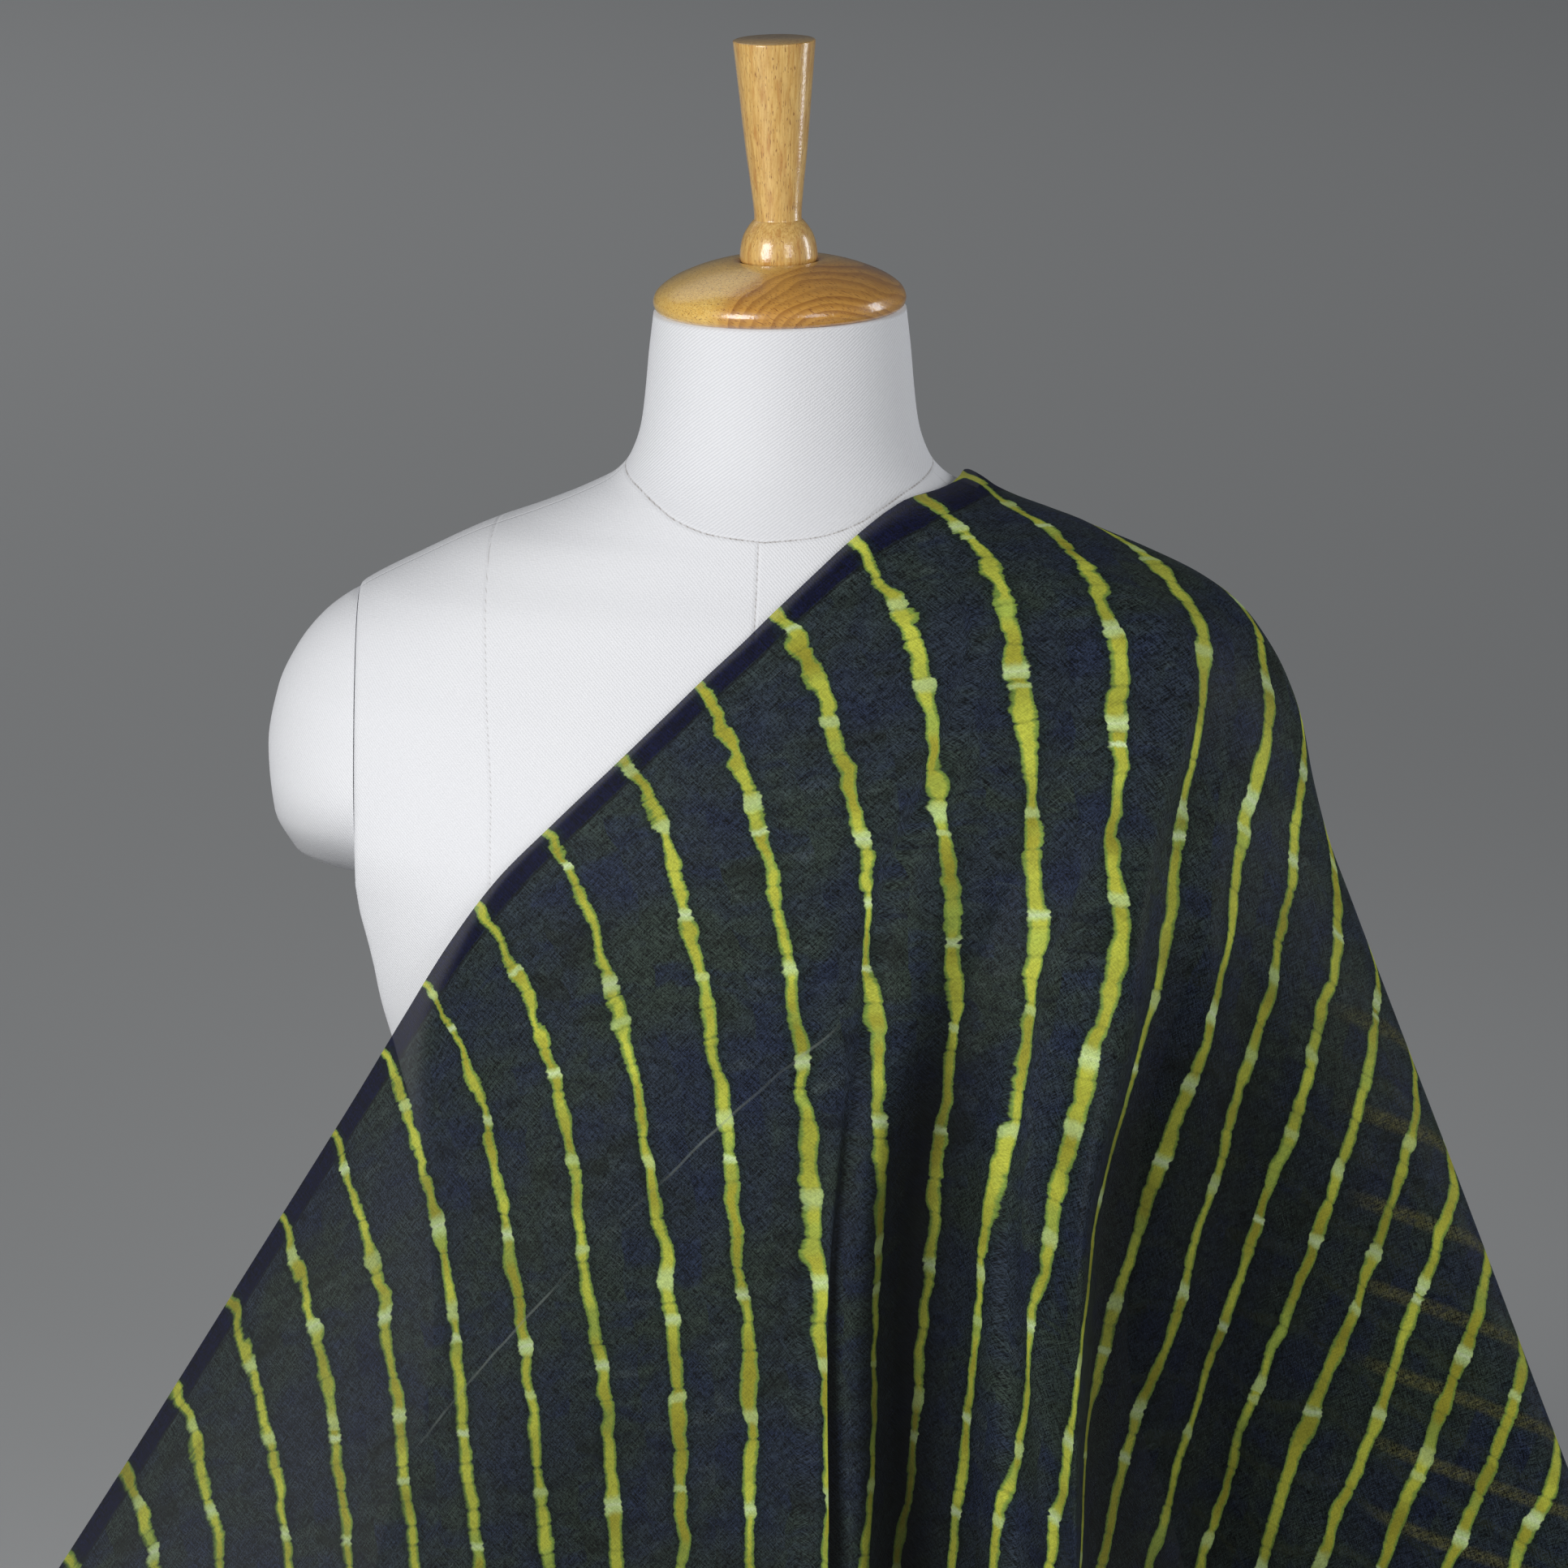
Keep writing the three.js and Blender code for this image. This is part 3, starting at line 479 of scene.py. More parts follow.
def resample(a, k, axis):
    """Catmull-Rom along one axis of a grid of points."""
    a = np.swapaxes(a, 0, axis)
    t = np.linspace(0, a.shape[0] - 1, k)
    i = np.clip(t.astype(int), 0, a.shape[0] - 2)
    f = (t - i)[:, None, None]
    g = lambda q: a[np.clip(q, 0, a.shape[0] - 1)]
    p0, p1, p2, p3 = g(i - 1), g(i), g(i + 1), g(i + 2)
    r = p1 + 0.5 * f * (p2 - p0 + f * (2 * p0 - 5 * p1 + 4 * p2 - p3 + f * (3 * (p1 - p2) + p3 - p0)))
    return np.swapaxes(r, 0, axis)


COARSE = (28, 84)
CLOTH_ROWS, CLOTH_COLS = ((226, 415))
s0, z0, flat0 = flatten(*COARSE)
flat = resample(resample(flat0, CLOTH_ROWS, 0), CLOTH_COLS, 1)
sel_s = np.interp(np.linspace(0, len(s0) - 1, CLOTH_COLS), np.arange(len(s0)), s0)
sel_z = np.interp(np.linspace(0, len(z0) - 1, CLOTH_ROWS), np.arange(len(z0)), z0)
cloth = sheet_points(sel_s[None, :], sel_z[:, None])
cloth[0] = cloth[0].mean(0)

# stripes as a run across the flat cloth
_u = np.linspace(-60, 900, 1921)
_cot = 1 / np.tan(np.radians(np.interp(_u, *np.array(STRIPE_ANGLE, float).T)))
_g = np.concatenate([[0], np.cumsum(0.5 * (_cot[1:] + _cot[:-1]) * np.diff(_u))])
_g -= np.interp(0, _u, _g)


def stripe_phase(u, v):
    """Whole numbers fall on the middles of the stripes."""
    return (v - STRIPE_START - np.interp(u, _u, _g)) / STRIPE_PITCH


U, V = flat[..., 0], flat[..., 1]
phase = stripe_phase(U, V)
across_u = stripe_phase(U + 1, V) - stripe_phase(U - 1, V)
across_v = stripe_phase(U, V + 1) - stripe_phase(U, V - 1)
pitch = np.clip(2 / np.hypot(across_u, across_v), 24, 60)
lean = across_u / np.hypot(across_u, across_v)  # how far straight across a stripe leans to the right


# how far a point of the front lies in the shade of the folds, 0 to 1; it is laid into the cloth's colour as painted
# shade
FOLD_SHADE = {"pleat_foot": 0.35, "valley": 1.0, "valley_side": 0.6, "dip": 0.1, "crease_top": 0.2, "crease_foot": 0.75, "right_swell": 0.6, "hollow": 0.7, "fin": 0.4}
_front = sel_s < len(FRONT) - 1
_fold_shade = np.interp(sel_s, np.arange(len(FRONT)), [FOLD_SHADE.get(row[0], 0.0) for row in FRONT])
fold_shade = np.where(_front, _fold_shade, 0.0)[None, :] * smooth((450 - sel_z[:, None]) / 130)
# near the outer fold the stripes of the layer behind are painted on the front as a painted show-through
behind, shows = phase * 0, phase * 0
for _i in range(3, len(sel_z)):
    _x = cloth[_i, :, 0] + 0.0909 * cloth[_i, :, 1]
    _b = np.where(~_front)[0]
    _order = np.argsort(_x[_b])
    behind[_i] = np.interp(_x, _x[_b][_order], phase[_i][_b][_order])
    _start = cloth[_i, :, 0].max() - 34 - 0.32 * max(350 - sel_z[_i], 0)
    shows[_i] = np.where(_front, smooth((_x - _start) / 22) * smooth((395 - sel_z[_i]) / 50), 0)


def build_cloth():
    n, m = cloth.shape[:2]
    verts = cloth.reshape(-1, 3)
    faces = grid_faces(n, m)
    faces = [tuple(f) for f in faces.tolist()]
    # the first row is one point
    faces = [(0, f[2], f[3]) if f[0] < m - 1 and f[1] < m else f for f in faces]
    keep = np.ones(len(verts), bool)
    keep[1:m] = False
    index = np.cumsum(keep) - 1
    faces = [tuple(int(index[i]) for i in f) for f in faces]
    uvs = {
        "cloth_flat": np.stack([U, V], -1).reshape(-1, 2)[keep] * 0.01,
        "stripe_run": np.stack([phase, lean], -1).reshape(-1, 2)[keep],
        "stripe_size_and_shade": np.stack([pitch * 0.01, fold_shade], -1).reshape(-1, 2)[keep],
        "stripe_behind": np.stack([behind, shows], -1).reshape(-1, 2)[keep],
    }
    return mesh_object("silk_drape", verts[keep], faces, uvs)


# ------------------------------------------------------------ node graphs ---
def lin(r, g, b):
    """An sRGB colour, 0 to 255, as Blender's linear RGBA."""
    f = lambda c: c / 12.92 if c <= 0.04045 else ((c + 0.055) / 1.055) ** 2.4
    return (f(r / 255), f(g / 255), f(b / 255), 1.0)


class Graph:
    def __init__(self, name):
        self.material = bpy.data.materials.new(name)
        self.material.use_nodes = True
        self.tree = self.material.node_tree
        self.tree.nodes.clear()
        self.out = self.tree.nodes.new("ShaderNodeOutputMaterial")
        self.skin = self.tree.nodes.new("ShaderNodeBsdfPrincipled")
        self.tree.links.new(self.skin.outputs[0], self.out.inputs[0])

    def put(self, socket, value):
        if isinstance(value, bpy.types.NodeSocket):
            self.tree.links.new(value, socket)
        elif isinstance(value, (int, float)) and hasattr(socket.default_value, "__len__"):
            socket.default_value = (value,) * len(socket.default_value)
        else:
            socket.default_value = value

    def set(self, **values):
        for key, value in values.items():
            self.put(self.skin.inputs[key.replace("_", " ")], value)

    def math(self, op, a, b=0.0, c=0.0, clamp=False):
        n = self.tree.nodes.new("ShaderNodeMath")
        n.operation, n.use_clamp = op, clamp
        for s, v in zip(n.inputs, (a, b, c)):
            self.put(s, v)
        return n.outputs[0]

    def add(self, a, b):
        return self.math("ADD", a, b)

    def sub(self, a, b):
        return self.math("SUBTRACT", a, b)

    def mul(self, a, b):
        return self.math("MULTIPLY", a, b)

    def ramp(self, x, low, high, to_low=0.0, to_high=1.0):
        n = self.tree.nodes.new("ShaderNodeMapRange")
        n.interpolation_type = "SMOOTHSTEP"
        for s, v in zip(n.inputs, (x, low, high, to_low, to_high)):
            self.put(s, v)
        return n.outputs[0]

    def mix(self, factor, a, b, blend="MIX"):
        n = self.tree.nodes.new("ShaderNodeMix")
        n.data_type, n.blend_type, n.clamp_factor = "RGBA", blend, True
        self.put(n.inputs[0], factor)
        self.put(n.inputs[6], a)
        self.put(n.inputs[7], b)
        return n.outputs[2]

    def xyz(self, x, y, z=0.0):
        n = self.tree.nodes.new("ShaderNodeCombineXYZ")
        for s, v in zip(n.inputs, (x, y, z)):
            self.put(s, v)
        return n.outputs[0]

    def parts(self, v):
        n = self.tree.nodes.new("ShaderNodeSeparateXYZ")
        self.put(n.inputs[0], v)
        return n.outputs[0], n.outputs[1], n.outputs[2]

    def uv(self, name):
        n = self.tree.nodes.new("ShaderNodeUVMap")
        n.uv_map = name
        return self.parts(n.outputs[0])[:2]

    def place(self):
        """The point's place in metres, in the object's frame."""
        n = self.tree.nodes.new("ShaderNodeTexCoord")
        return self.parts(n.outputs["Object"])

    def facing(self):
        """The surface's direction, in the world."""
        n = self.tree.nodes.new("ShaderNodeNewGeometry")
        return self.parts(n.outputs["Normal"])

    def noise(self, v, scale=1.0, detail=2.0, rough=0.5, warp=0.0):
        n = self.tree.nodes.new("ShaderNodeTexNoise")
        self.put(n.inputs["Vector"], v)
        n.inputs["Scale"].default_value = scale
        n.inputs["Detail"].default_value = detail
        n.inputs["Roughness"].default_value = rough
        n.inputs["Distortion"].default_value = warp
        return n.outputs[0]

    def spots(self, w, randomness=1.0):
        """Distance to the nearest of jittered points, one a unit, along a line."""
        n = self.tree.nodes.new("ShaderNodeTexVoronoi")
        n.voronoi_dimensions, n.feature = "1D", "F1"
        self.put(n.inputs["W"], w)
        n.inputs["Scale"].default_value = 1.0
        n.inputs["Randomness"].default_value = randomness
        return n.outputs["Distance"], n.outputs["Color"]

    def bump(self, height, strength, distance, normal=None):
        n = self.tree.nodes.new("ShaderNodeBump")
        n.inputs["Strength"].default_value = strength
        n.inputs["Distance"].default_value = distance
        self.put(n.inputs["Height"], height)
        if normal is not None:
            self.put(n.inputs["Normal"], normal)
        return n.outputs[0]


def silk_material():
    g = Graph("leheriya_silk")
    u, v = g.uv("cloth_flat")
    u, v = g.mul(u, 100.0), g.mul(v, 100.0)  # mm
    run, lean = g.uv("stripe_run")
    size, fold_shade = g.uv("stripe_size_and_shade")
    size = g.mul(size, 100.0)
    flat_v = g.xyz(u, v)
    near_edge = g.ramp(u, 8.0, 110.0, 1.0, 0.0)
    # run of the stripe with its wander, in mm: long waves, short jogs, more of them near the selvedge
    w1 = g.sub(g.noise(flat_v, 0.012, 1.0), 0.5)
    w2 = g.sub(g.noise(flat_v, 0.034, 1.0), 0.5)
    w3 = g.sub(g.noise(flat_v, 0.085, 1.0, 0.5, 0.3), 0.5)
    wander = g.add(g.mul(w1, 8.0), g.add(g.mul(w2, 7.0), g.mul(w3, g.add(4.0, g.mul(near_edge, 5.0)))))
    run = g.add(run, g.math("DIVIDE", wander, size))
    number = g.math("FLOOR", g.add(run, 0.5))
    side = g.mul(g.sub(run, number), size)  # mm from the stripe's middle, below it negative
    dist = g.math("ABSOLUTE", side)
    along = g.mul(g.sub(u, g.mul(side, lean)), 1.25)  # mm along the stripe's middle
    # the ties: a pale patch with a white line where the thread sat, and many slight nips between
    near, dice = g.spots(g.add(g.mul(along, 1 / 39.0), g.mul(number, 17.31)))
    chance, chance2, _ = g.parts(dice)
    reach = g.add(0.03, g.mul(chance, 0.07))
    pale = g.ramp(g.add(near, g.mul(g.sub(g.noise(flat_v, 0.35, 2.0), 0.5), 0.07)), g.mul(reach, 0.4), g.mul(reach, 1.5), 1.0, 0.0)
    knot = g.mul(g.ramp(near, 0.006, 0.03, 1.0, 0.0), g.ramp(chance2, 0.35, 0.6))
    nip_at, nip_dice = g.spots(g.add(g.mul(along, 1 / 8.5), g.mul(number, 5.73)))
    nip = g.mul(g.ramp(nip_at, 0.0, 0.14, 1.0, 0.0), g.parts(nip_dice)[0])
    # half width with bulges and necks
    bulge = g.sub(g.noise(g.xyz(g.mul(along, 0.095), g.mul(number, 3.7)), 1.0, 1.5), 0.5)
    thick = g.sub(g.noise(g.xyz(g.mul(along, 0.012), g.mul(number, 5.1)), 1.0, 0.0), 0.5)
    halfw = g.add(g.add(g.ramp(v, 90.0, 260.0, 3.3, 2.8), g.mul(bulge, 2.1)), g.mul(thick, 2.2))
    halfw = g.add(halfw, g.sub(g.mul(pale, 0.45), g.add(g.mul(knot, 0.5), g.mul(nip, 0.8))))
    halfw = g.math("MAXIMUM", halfw, 1.2)
    # ragged edge: fine teeth drawn across the stripe, where dye crept along the threads
    fine = g.sub(g.noise(flat_v, 0.5, 3.0, 0.62), 0.5)
    teeth = g.sub(g.noise(g.xyz(g.mul(along, 0.62), g.mul(side, 0.12), number), 1.0, 2.0, 0.6), 0.5)
    rough = g.add(1.1, g.mul(near_edge, 0.9))
    ragged = g.sub(g.add(dist, g.mul(g.add(fine, teeth), rough)), halfw)
    low = g.ramp(v, 420.0, 620.0)
    soft = g.ramp(side, -1.0, 1.0, g.add(0.5, g.mul(low, 0.3)), g.add(0.7, g.mul(low, 1.1)))
    stripe = g.ramp(ragged, g.mul(soft, -0.7), g.mul(soft, 0.8), 1.0, 0.0)
    core = g.ramp(ragged, -1.7, -0.4, 1.0, 0.0)
    halo = g.ramp(ragged, 0.2, 4.5, 1.0, 0.0)
    # ground: navy and dark olive clouds, with smudges and dark lines drawn out from tie to tie
    cloud = g.noise(g.xyz(g.mul(u, 0.020), g.mul(v, 0.0115)), 1.0, 4.0, 0.6, 0.5)
    smudge = g.noise(g.xyz(g.mul(along, 0.045), g.mul(run, 0.55)), 1.0, 3.0, 0.6, 0.6)
    smudge2 = g.noise(g.xyz(g.mul(along, 0.11), g.mul(run, 0.8), 5.0), 1.0, 3.0, 0.62, 0.6)
    thread = g.noise(g.xyz(g.mul(along, 0.05), g.mul(run, 0.28), 11.0), 1.0, 2.0, 0.5, 0.8)
    ground = g.mix(g.ramp(cloud, 0.38, 0.62), lin(36, 44, 56), lin(42, 52, 48))
    ground = g.mix(g.mul(g.ramp(smudge, 0.48, 0.68), 0.75), ground, lin(29, 37, 60))
    ground = g.mix(g.mul(g.ramp(smudge, 0.30, 0.44, 1.0, 0.0), 0.7), ground, lin(26, 32, 28))
    ground = g.mix(g.mul(g.ramp(smudge2, 0.54, 0.78), 0.3), ground, lin(14, 17, 26))
    ground = g.mix(g.mul(g.ramp(smudge2, 0.24, 0.42, 1.0, 0.0), 0.35), ground, lin(66, 75, 76))
    line = g.ramp(g.math("ABSOLUTE", g.sub(thread, 0.5)), 0.003, 0.022, 1.0, 0.0)
    ground = g.mix(g.mul(g.mul(line, g.ramp(smudge2, 0.42, 0.56)), 0.4), ground, lin(12, 16, 32))
    band = g.ramp(g.add(u, g.mul(fine, 0.8)), 8.2, 8.8, 1.0, 0.0)
    seam = g.ramp(g.math("ABSOLUTE", g.sub(g.add(u, g.mul(fine, 0.5)), 9.0)), 0.2, 0.7, 1.0, 0.0)
    ground = g.mix(band, ground, lin(8, 12, 42))
    ground = g.mix(g.mul(seam, 0.7), ground, lin(6, 8, 14))
    ground = g.mix(g.mul(halo, 0.55), ground, lin(20, 34, 26))
    # painted shade: the cloth is darker low down and over the folds of the right side, where the folds shade it
    deep = g.mul(g.sub(1.0, g.mul(fold_shade, 0.68)), g.sub(1.0, g.mul(g.ramp(v, 180.0, 560.0), 0.32)))
    painted_shade_ground = g.mul(deep, g.sub(1.0, g.mul(fold_shade, 0.5)))
    ground = g.mix(1.0, ground, g.xyz(painted_shade_ground, painted_shade_ground, painted_shade_ground), "MULTIPLY")
    # painted show-through: the stripes of the layer behind, drawn as dim broken lines
    other, shows = g.uv("stripe_behind")
    other = g.sub(other, g.math("FLOOR", g.add(other, 0.5)))
    broken = g.noise(g.xyz(g.mul(u, 0.55), g.mul(v, 0.16), 2.0), 1.0, 2.0, 0.7)
    painted_show_through = g.ramp(g.add(g.math("ABSOLUTE", other), g.mul(g.sub(broken, 0.5), 0.16)), 0.05, 0.13, 1.0, 0.0)
    painted_show_through = g.mul(g.mul(painted_show_through, shows), g.ramp(broken, 0.35, 0.6, 0.25, 0.75))
    ground = g.mix(g.mul(painted_show_through, 0.8), ground, lin(84, 82, 46))
    # stripe: mustard and yellow core, lime where the dyes met, pale mint at the ties
    tint = g.noise(g.xyz(g.mul(along, 0.028), g.mul(number, 2.3), 3.0), 1.0, 2.0)
    tint2 = g.noise(g.xyz(g.mul(along, 0.05), g.mul(number, 7.9), 9.0), 1.0, 1.0)
    yellow = g.mix(g.ramp(tint, 0.36, 0.62), lin(162, 158, 52), lin(192, 198, 74))
    yellow = g.mix(g.mul(g.ramp(tint2, 0.54, 0.70), 0.6), yellow, lin(150, 180, 84))
    dye = g.mix(core, lin(122, 150, 66), yellow)
    dye = g.mix(g.mul(nip, 0.38), dye, lin(112, 118, 44))
    dye = g.mix(g.mul(pale, g.add(0.5, g.mul(chance2, 0.5))), dye, lin(194, 219, 150))
    dye = g.mix(g.mul(knot, g.mul(chance2, 0.6)), dye, lin(216, 230, 190))
    # crepe: fine grain over all, with slubs along the threads
    grain = g.sub(g.noise(g.xyz(g.mul(u, 1.25), g.mul(v, 1.25)), 1.0, 2.0, 0.7), 0.5)
    slub = g.sub(g.noise(g.xyz(g.mul(u, 2.4), g.mul(v, 0.12)), 1.0, 1.0), 0.5)
    slub2 = g.sub(g.noise(g.xyz(g.mul(u, 0.12), g.mul(v, 2.4)), 1.0, 1.0), 0.5)
    coarse = g.sub(g.noise(g.xyz(g.mul(u, 0.55), g.mul(v, 0.55), 4.0), 1.0, 2.0, 0.7), 0.5)
    texture = g.add(g.add(g.mul(grain, 2.0), g.mul(coarse, 0.9)), g.mul(g.add(slub, slub2), 1.2))
    ground = g.mix(1.0, ground, g.mix(g.ramp(texture, -0.6, 0.75), (0.0, 0.0, 0.0, 1.0), (2.4, 2.4, 2.3, 1.0)), "MULTIPLY")
    dye = g.mix(1.0, dye, g.mix(g.ramp(texture, -0.7, 0.7), (0.74, 0.74, 0.74, 1.0), (1.22, 1.22, 1.22, 1.0)), "MULTIPLY")
    # the stripes take the same painted shade, over patches of uneven dye
    patchy_dye_and_shade = g.mul(deep, g.ramp(g.noise(g.xyz(g.mul(along, 0.035), g.mul(number, 4.1), 6.0), 1.0, 2.0), 0.3, 0.7, 0.78, 1.16))
    dye = g.mix(1.0, dye, g.xyz(patchy_dye_and_shade, patchy_dye_and_shade, patchy_dye_and_shade), "MULTIPLY")
    colour = g.mix(stripe, ground, dye)
    # a packing crease beside the selvedge, drawn only as a pale line of painted sheen
    from_crease = g.add(g.add(u, g.mul(v, 0.0565)), g.mul(w2, 3.0))
    crease_sheen = g.ramp(g.math("ABSOLUTE", g.sub(from_crease, 149.0)), 0.2, 0.8, 1.0, 0.0)
    crease_sheen = g.mul(crease_sheen, g.mul(g.ramp(v, 235.0, 265.0), g.ramp(v, 490.0, 520.0, 1.0, 0.0)))
    crease_sheen = g.mul(crease_sheen, g.sub(1.0, g.mul(g.ramp(v, 338.0, 352.0), g.ramp(v, 412.0, 424.0, 0.8, 0.0))))
    crease_sheen = g.mul(crease_sheen, g.ramp(g.noise(g.xyz(0.0, g.mul(v, 0.03)), 1.0, 1.0), 0.35, 0.6, 0.12, 0.36))
    colour = g.mix(crease_sheen, colour, lin(128, 136, 130))
    g.set(Base_Color=colour, Roughness=0.5, Alpha=0.92)
    g.skin.inputs["Sheen Weight"].default_value = 0.01
    g.skin.inputs["Sheen Roughness"].default_value = 0.4
    g.skin.inputs["Sheen Tint"].default_value = (0.75, 0.85, 1.0, 1.0)
    g.skin.inputs["Specular IOR Level"].default_value = 0.05
    g.put(g.skin.inputs["Normal"], g.bump(texture, 0.35, 0.0002))
    return g.material


def canvas_material(name, seams):
    g = Graph(name)
    u, v = g.uv("canvas_run")
    u, v = g.mul(u, 100.0), g.mul(v, 100.0)  # mm round the form and up it
    # twill lines, leaning one way on the neck and the other way on the panels below it
    if seams:
        neck, centre = g.uv("seam_neck")
        princess, shoulder = g.uv("seam_side")
        neck, centre, princess, shoulder = (g.mul(q, 100.0) for q in (neck, centre, princess, shoulder))
        above = g.ramp(neck, -0.2, 0.2)
    else:
        above = 0.0
    jitter = g.mul(g.sub(g.noise(g.xyz(g.mul(u, 0.25), g.mul(v, 0.25)), 1.0, 2.0), 0.5), 0.9)
    rise = g.math("SINE", g.add(g.mul(g.add(g.mul(u, -0.57), g.mul(v, 0.82)), 6.2832 / 1.25), jitter))
    fall = g.math("SINE", g.add(g.mul(g.add(g.mul(u, 0.70), g.mul(v, 0.71)), 6.2832 / 1.15), jitter))
    level = g.sub(1.0, g.mul(g.ramp(g.facing()[2], 0.3, 0.75), 0.85))  # too flat to the eye on top of the shoulder to show
    twill = g.mul(g.add(g.mul(rise, above), g.mul(fall, g.sub(1.0, above))), level)
    thread = g.noise(g.xyz(g.mul(u, 2.2), g.mul(v, 0.5)), 1.0, 1.0)
    thread2 = g.noise(g.xyz(g.mul(u, 0.5), g.mul(v, 2.2)), 1.0, 1.0)
    cloud = g.noise(g.xyz(g.mul(u, 0.010), g.mul(v, 0.010)), 1.0, 2.0)
    base = g.mix(cloud, lin(229, 230, 235), lin(235, 236, 239))
    base = g.mix(g.mul(g.ramp(twill, -1.0, 1.0, 1.0, 0.0), g.add(0.2, g.mul(above, 0.27))), base, lin(196, 197, 203))
    base = g.mix(g.mul(g.ramp(thread, 0.55, 0.8), 0.25), base, lin(214, 214, 216))
    base = g.mix(g.mul(g.ramp(thread2, 0.55, 0.8), 0.25), base, lin(248, 248, 250))
    height = g.add(g.mul(twill, 0.5), g.add(thread, thread2))
    if not seams:
        underside_shade = g.ramp(v, 418.0, 466.0, 0.52, 1.0)  # painted shade: the round underside is darker towards the bottom
        base = g.mix(1.0, base, g.xyz(underside_shade, underside_shade, underside_shade), "MULTIPLY")
    if seams:
        below = g.sub(1.0, above)
        stitch = g.math("SINE", g.mul(g.add(u, g.mul(v, 0.9)), 6.2832 / 2.3))
        uneven = g.noise(g.xyz(g.mul(u, 0.16), g.mul(v, 0.16), 5.0), 1.0, 2.0)
        groove = 0.0
        for d, where, ink in (
            (neck, 1.0, 0.45),
            (centre, g.mul(below, g.ramp(g.place()[1], -0.02, 0.0, 1.0, 0.0)), 0.28),
            (princess, below, 0.05),
            (shoulder, below, 0.08),
        ):
            line = g.mul(g.ramp(g.math("ABSOLUTE", d), 0.12, 0.55, 1.0, 0.0), where)
            dots = g.mul(line, g.ramp(stitch, 0.35, 0.95))
            shade = g.add(g.mul(line, g.mul(g.ramp(uneven, 0.35, 0.6, 0.35, 1.0), ink)), g.mul(dots, 0.35))
            base = g.mix(g.math("MINIMUM", shade, 0.9), base, lin(128, 118, 110))
            dip = g.mul(g.ramp(g.math("ABSOLUTE", d), 0.1, 1.6, 1.0, 0.0), where)
            groove = g.add(groove, dip)
        height = g.sub(height, g.mul(groove, 2.2))
    g.set(Base_Color=base, Roughness=0.92)
    g.skin.inputs["Specular IOR Level"].default_value = 0.15
    g.put(g.skin.inputs["Normal"], g.bump(height, 0.35, 0.0004))
    return g.material


def wood_material(name, handle):
    """Pale lacquered wood; the cap's rings sweep over its right side in arcs."""
    g = Graph(name)
    x, y, z = (g.mul(q, 1000.0) for q in g.place())  # mm
    sway = g.sub(g.noise(g.xyz(g.mul(x, 0.035), g.mul(y, 0.035), g.mul(z, 0.035)), 1.0, 1.0), 0.5)
    if handle:
        ring = g.add(g.math("SQRT", g.add(g.math("POWER", g.add(x, 34.0), 2.0), g.math("POWER", g.sub(y, 22.0), 2.0))), g.mul(z, 0.06))
        ring = g.add(ring, g.mul(sway, 7.0))
        run, across, deep = z, x, y
        pitch, amount = 5.2, 0.35
    else:
        up = g.add(g.mul(z, 0.976), g.mul(y, 0.216))
        flat_x = g.mul(g.sub(x, 31.0), 0.74)
        ring = g.math("SQRT", g.add(g.math("POWER", flat_x, 2.0), g.math("POWER", g.sub(up, 631.0), 2.0)))
        ring = g.add(ring, g.mul(sway, 9.0))
        run, across, deep = g.add(g.mul(x, 0.9), g.mul(up, -0.44)), g.add(g.mul(x, 0.44), g.mul(up, 0.9)), y
        pitch, amount = 3.4, 0.0
    turn = g.math("FRACT", g.mul(ring, 1 / pitch))
    # each ring darkens slowly and stops at a sharp line
    late = g.mul(g.ramp(turn, 0.12, 0.9), g.ramp(turn, 0.9, 1.0, 1.0, 0.0))
    number = g.math("FLOOR", g.mul(ring, 1 / pitch))
    strong = g.ramp(g.noise(g.xyz(g.mul(number, 0.83), 0.5), 1.0, 1.0), 0.32, 0.62, 0.35, 1.0)
    fibre = g.noise(g.xyz(g.mul(run, 0.05), g.mul(across, 1.1), g.mul(deep, 1.1)), 1.0, 3.0, 0.6)
    pore_at = g.noise(g.xyz(g.mul(run, 0.30), g.mul(across, 2.3), g.mul(deep, 2.3)), 1.0, 1.0)
    pores = g.ramp(pore_at, 0.63, 0.72) if handle else g.ramp(pore_at, 0.59, 0.68)
    if handle:
        base = g.mix(g.ramp(fibre, 0.3, 0.7), lin(206, 160, 86), lin(230, 192, 118))
        streak = g.noise(g.xyz(g.mul(run, 0.022), g.mul(across, 0.45), g.mul(deep, 0.45)), 1.0, 2.0, 0.6)
        base = g.mix(g.mul(g.ramp(streak, 0.52, 0.68), 0.5), base, lin(186, 124, 58))
        right = amount
    else:
        base = g.mix(g.ramp(fibre, 0.3, 0.7), lin(220, 174, 84), lin(236, 198, 112))
        right = g.ramp(ring, 36.0, 46.0, 1.0, 0.0)
        base = g.mix(g.mul(right, 0.7), base, lin(196, 132, 52))
    base = g.mix(g.mul(g.mul(g.mul(late, strong), right), 0.6), base, lin(138, 82, 30))
    base = g.mix(g.mul(pores, 0.8), base, lin(132, 78, 36))
    g.set(Base_Color=base, Roughness=0.35)
    g.skin.inputs["Coat Weight"].default_value = 0.9
    g.skin.inputs["Coat Roughness"].default_value = 0.1
    peel = g.noise(g.xyz(g.mul(x, 0.8), g.mul(y, 0.8), g.mul(z, 0.8)), 1.0, 1.0)
    g.put(g.skin.inputs["Normal"], g.bump(g.sub(fibre, g.mul(pores, 0.4)), 0.2, 0.0003))
    g.put(g.skin.inputs["Coat Normal"], g.bump(peel, 0.25, 0.0004))
    return g.material


# --------------------------------------------------------------- the form ---
def armhole(y):
    """x of the armhole plate at depth y."""
    return ARMHOLE_X + ARMHOLE_TOE * y


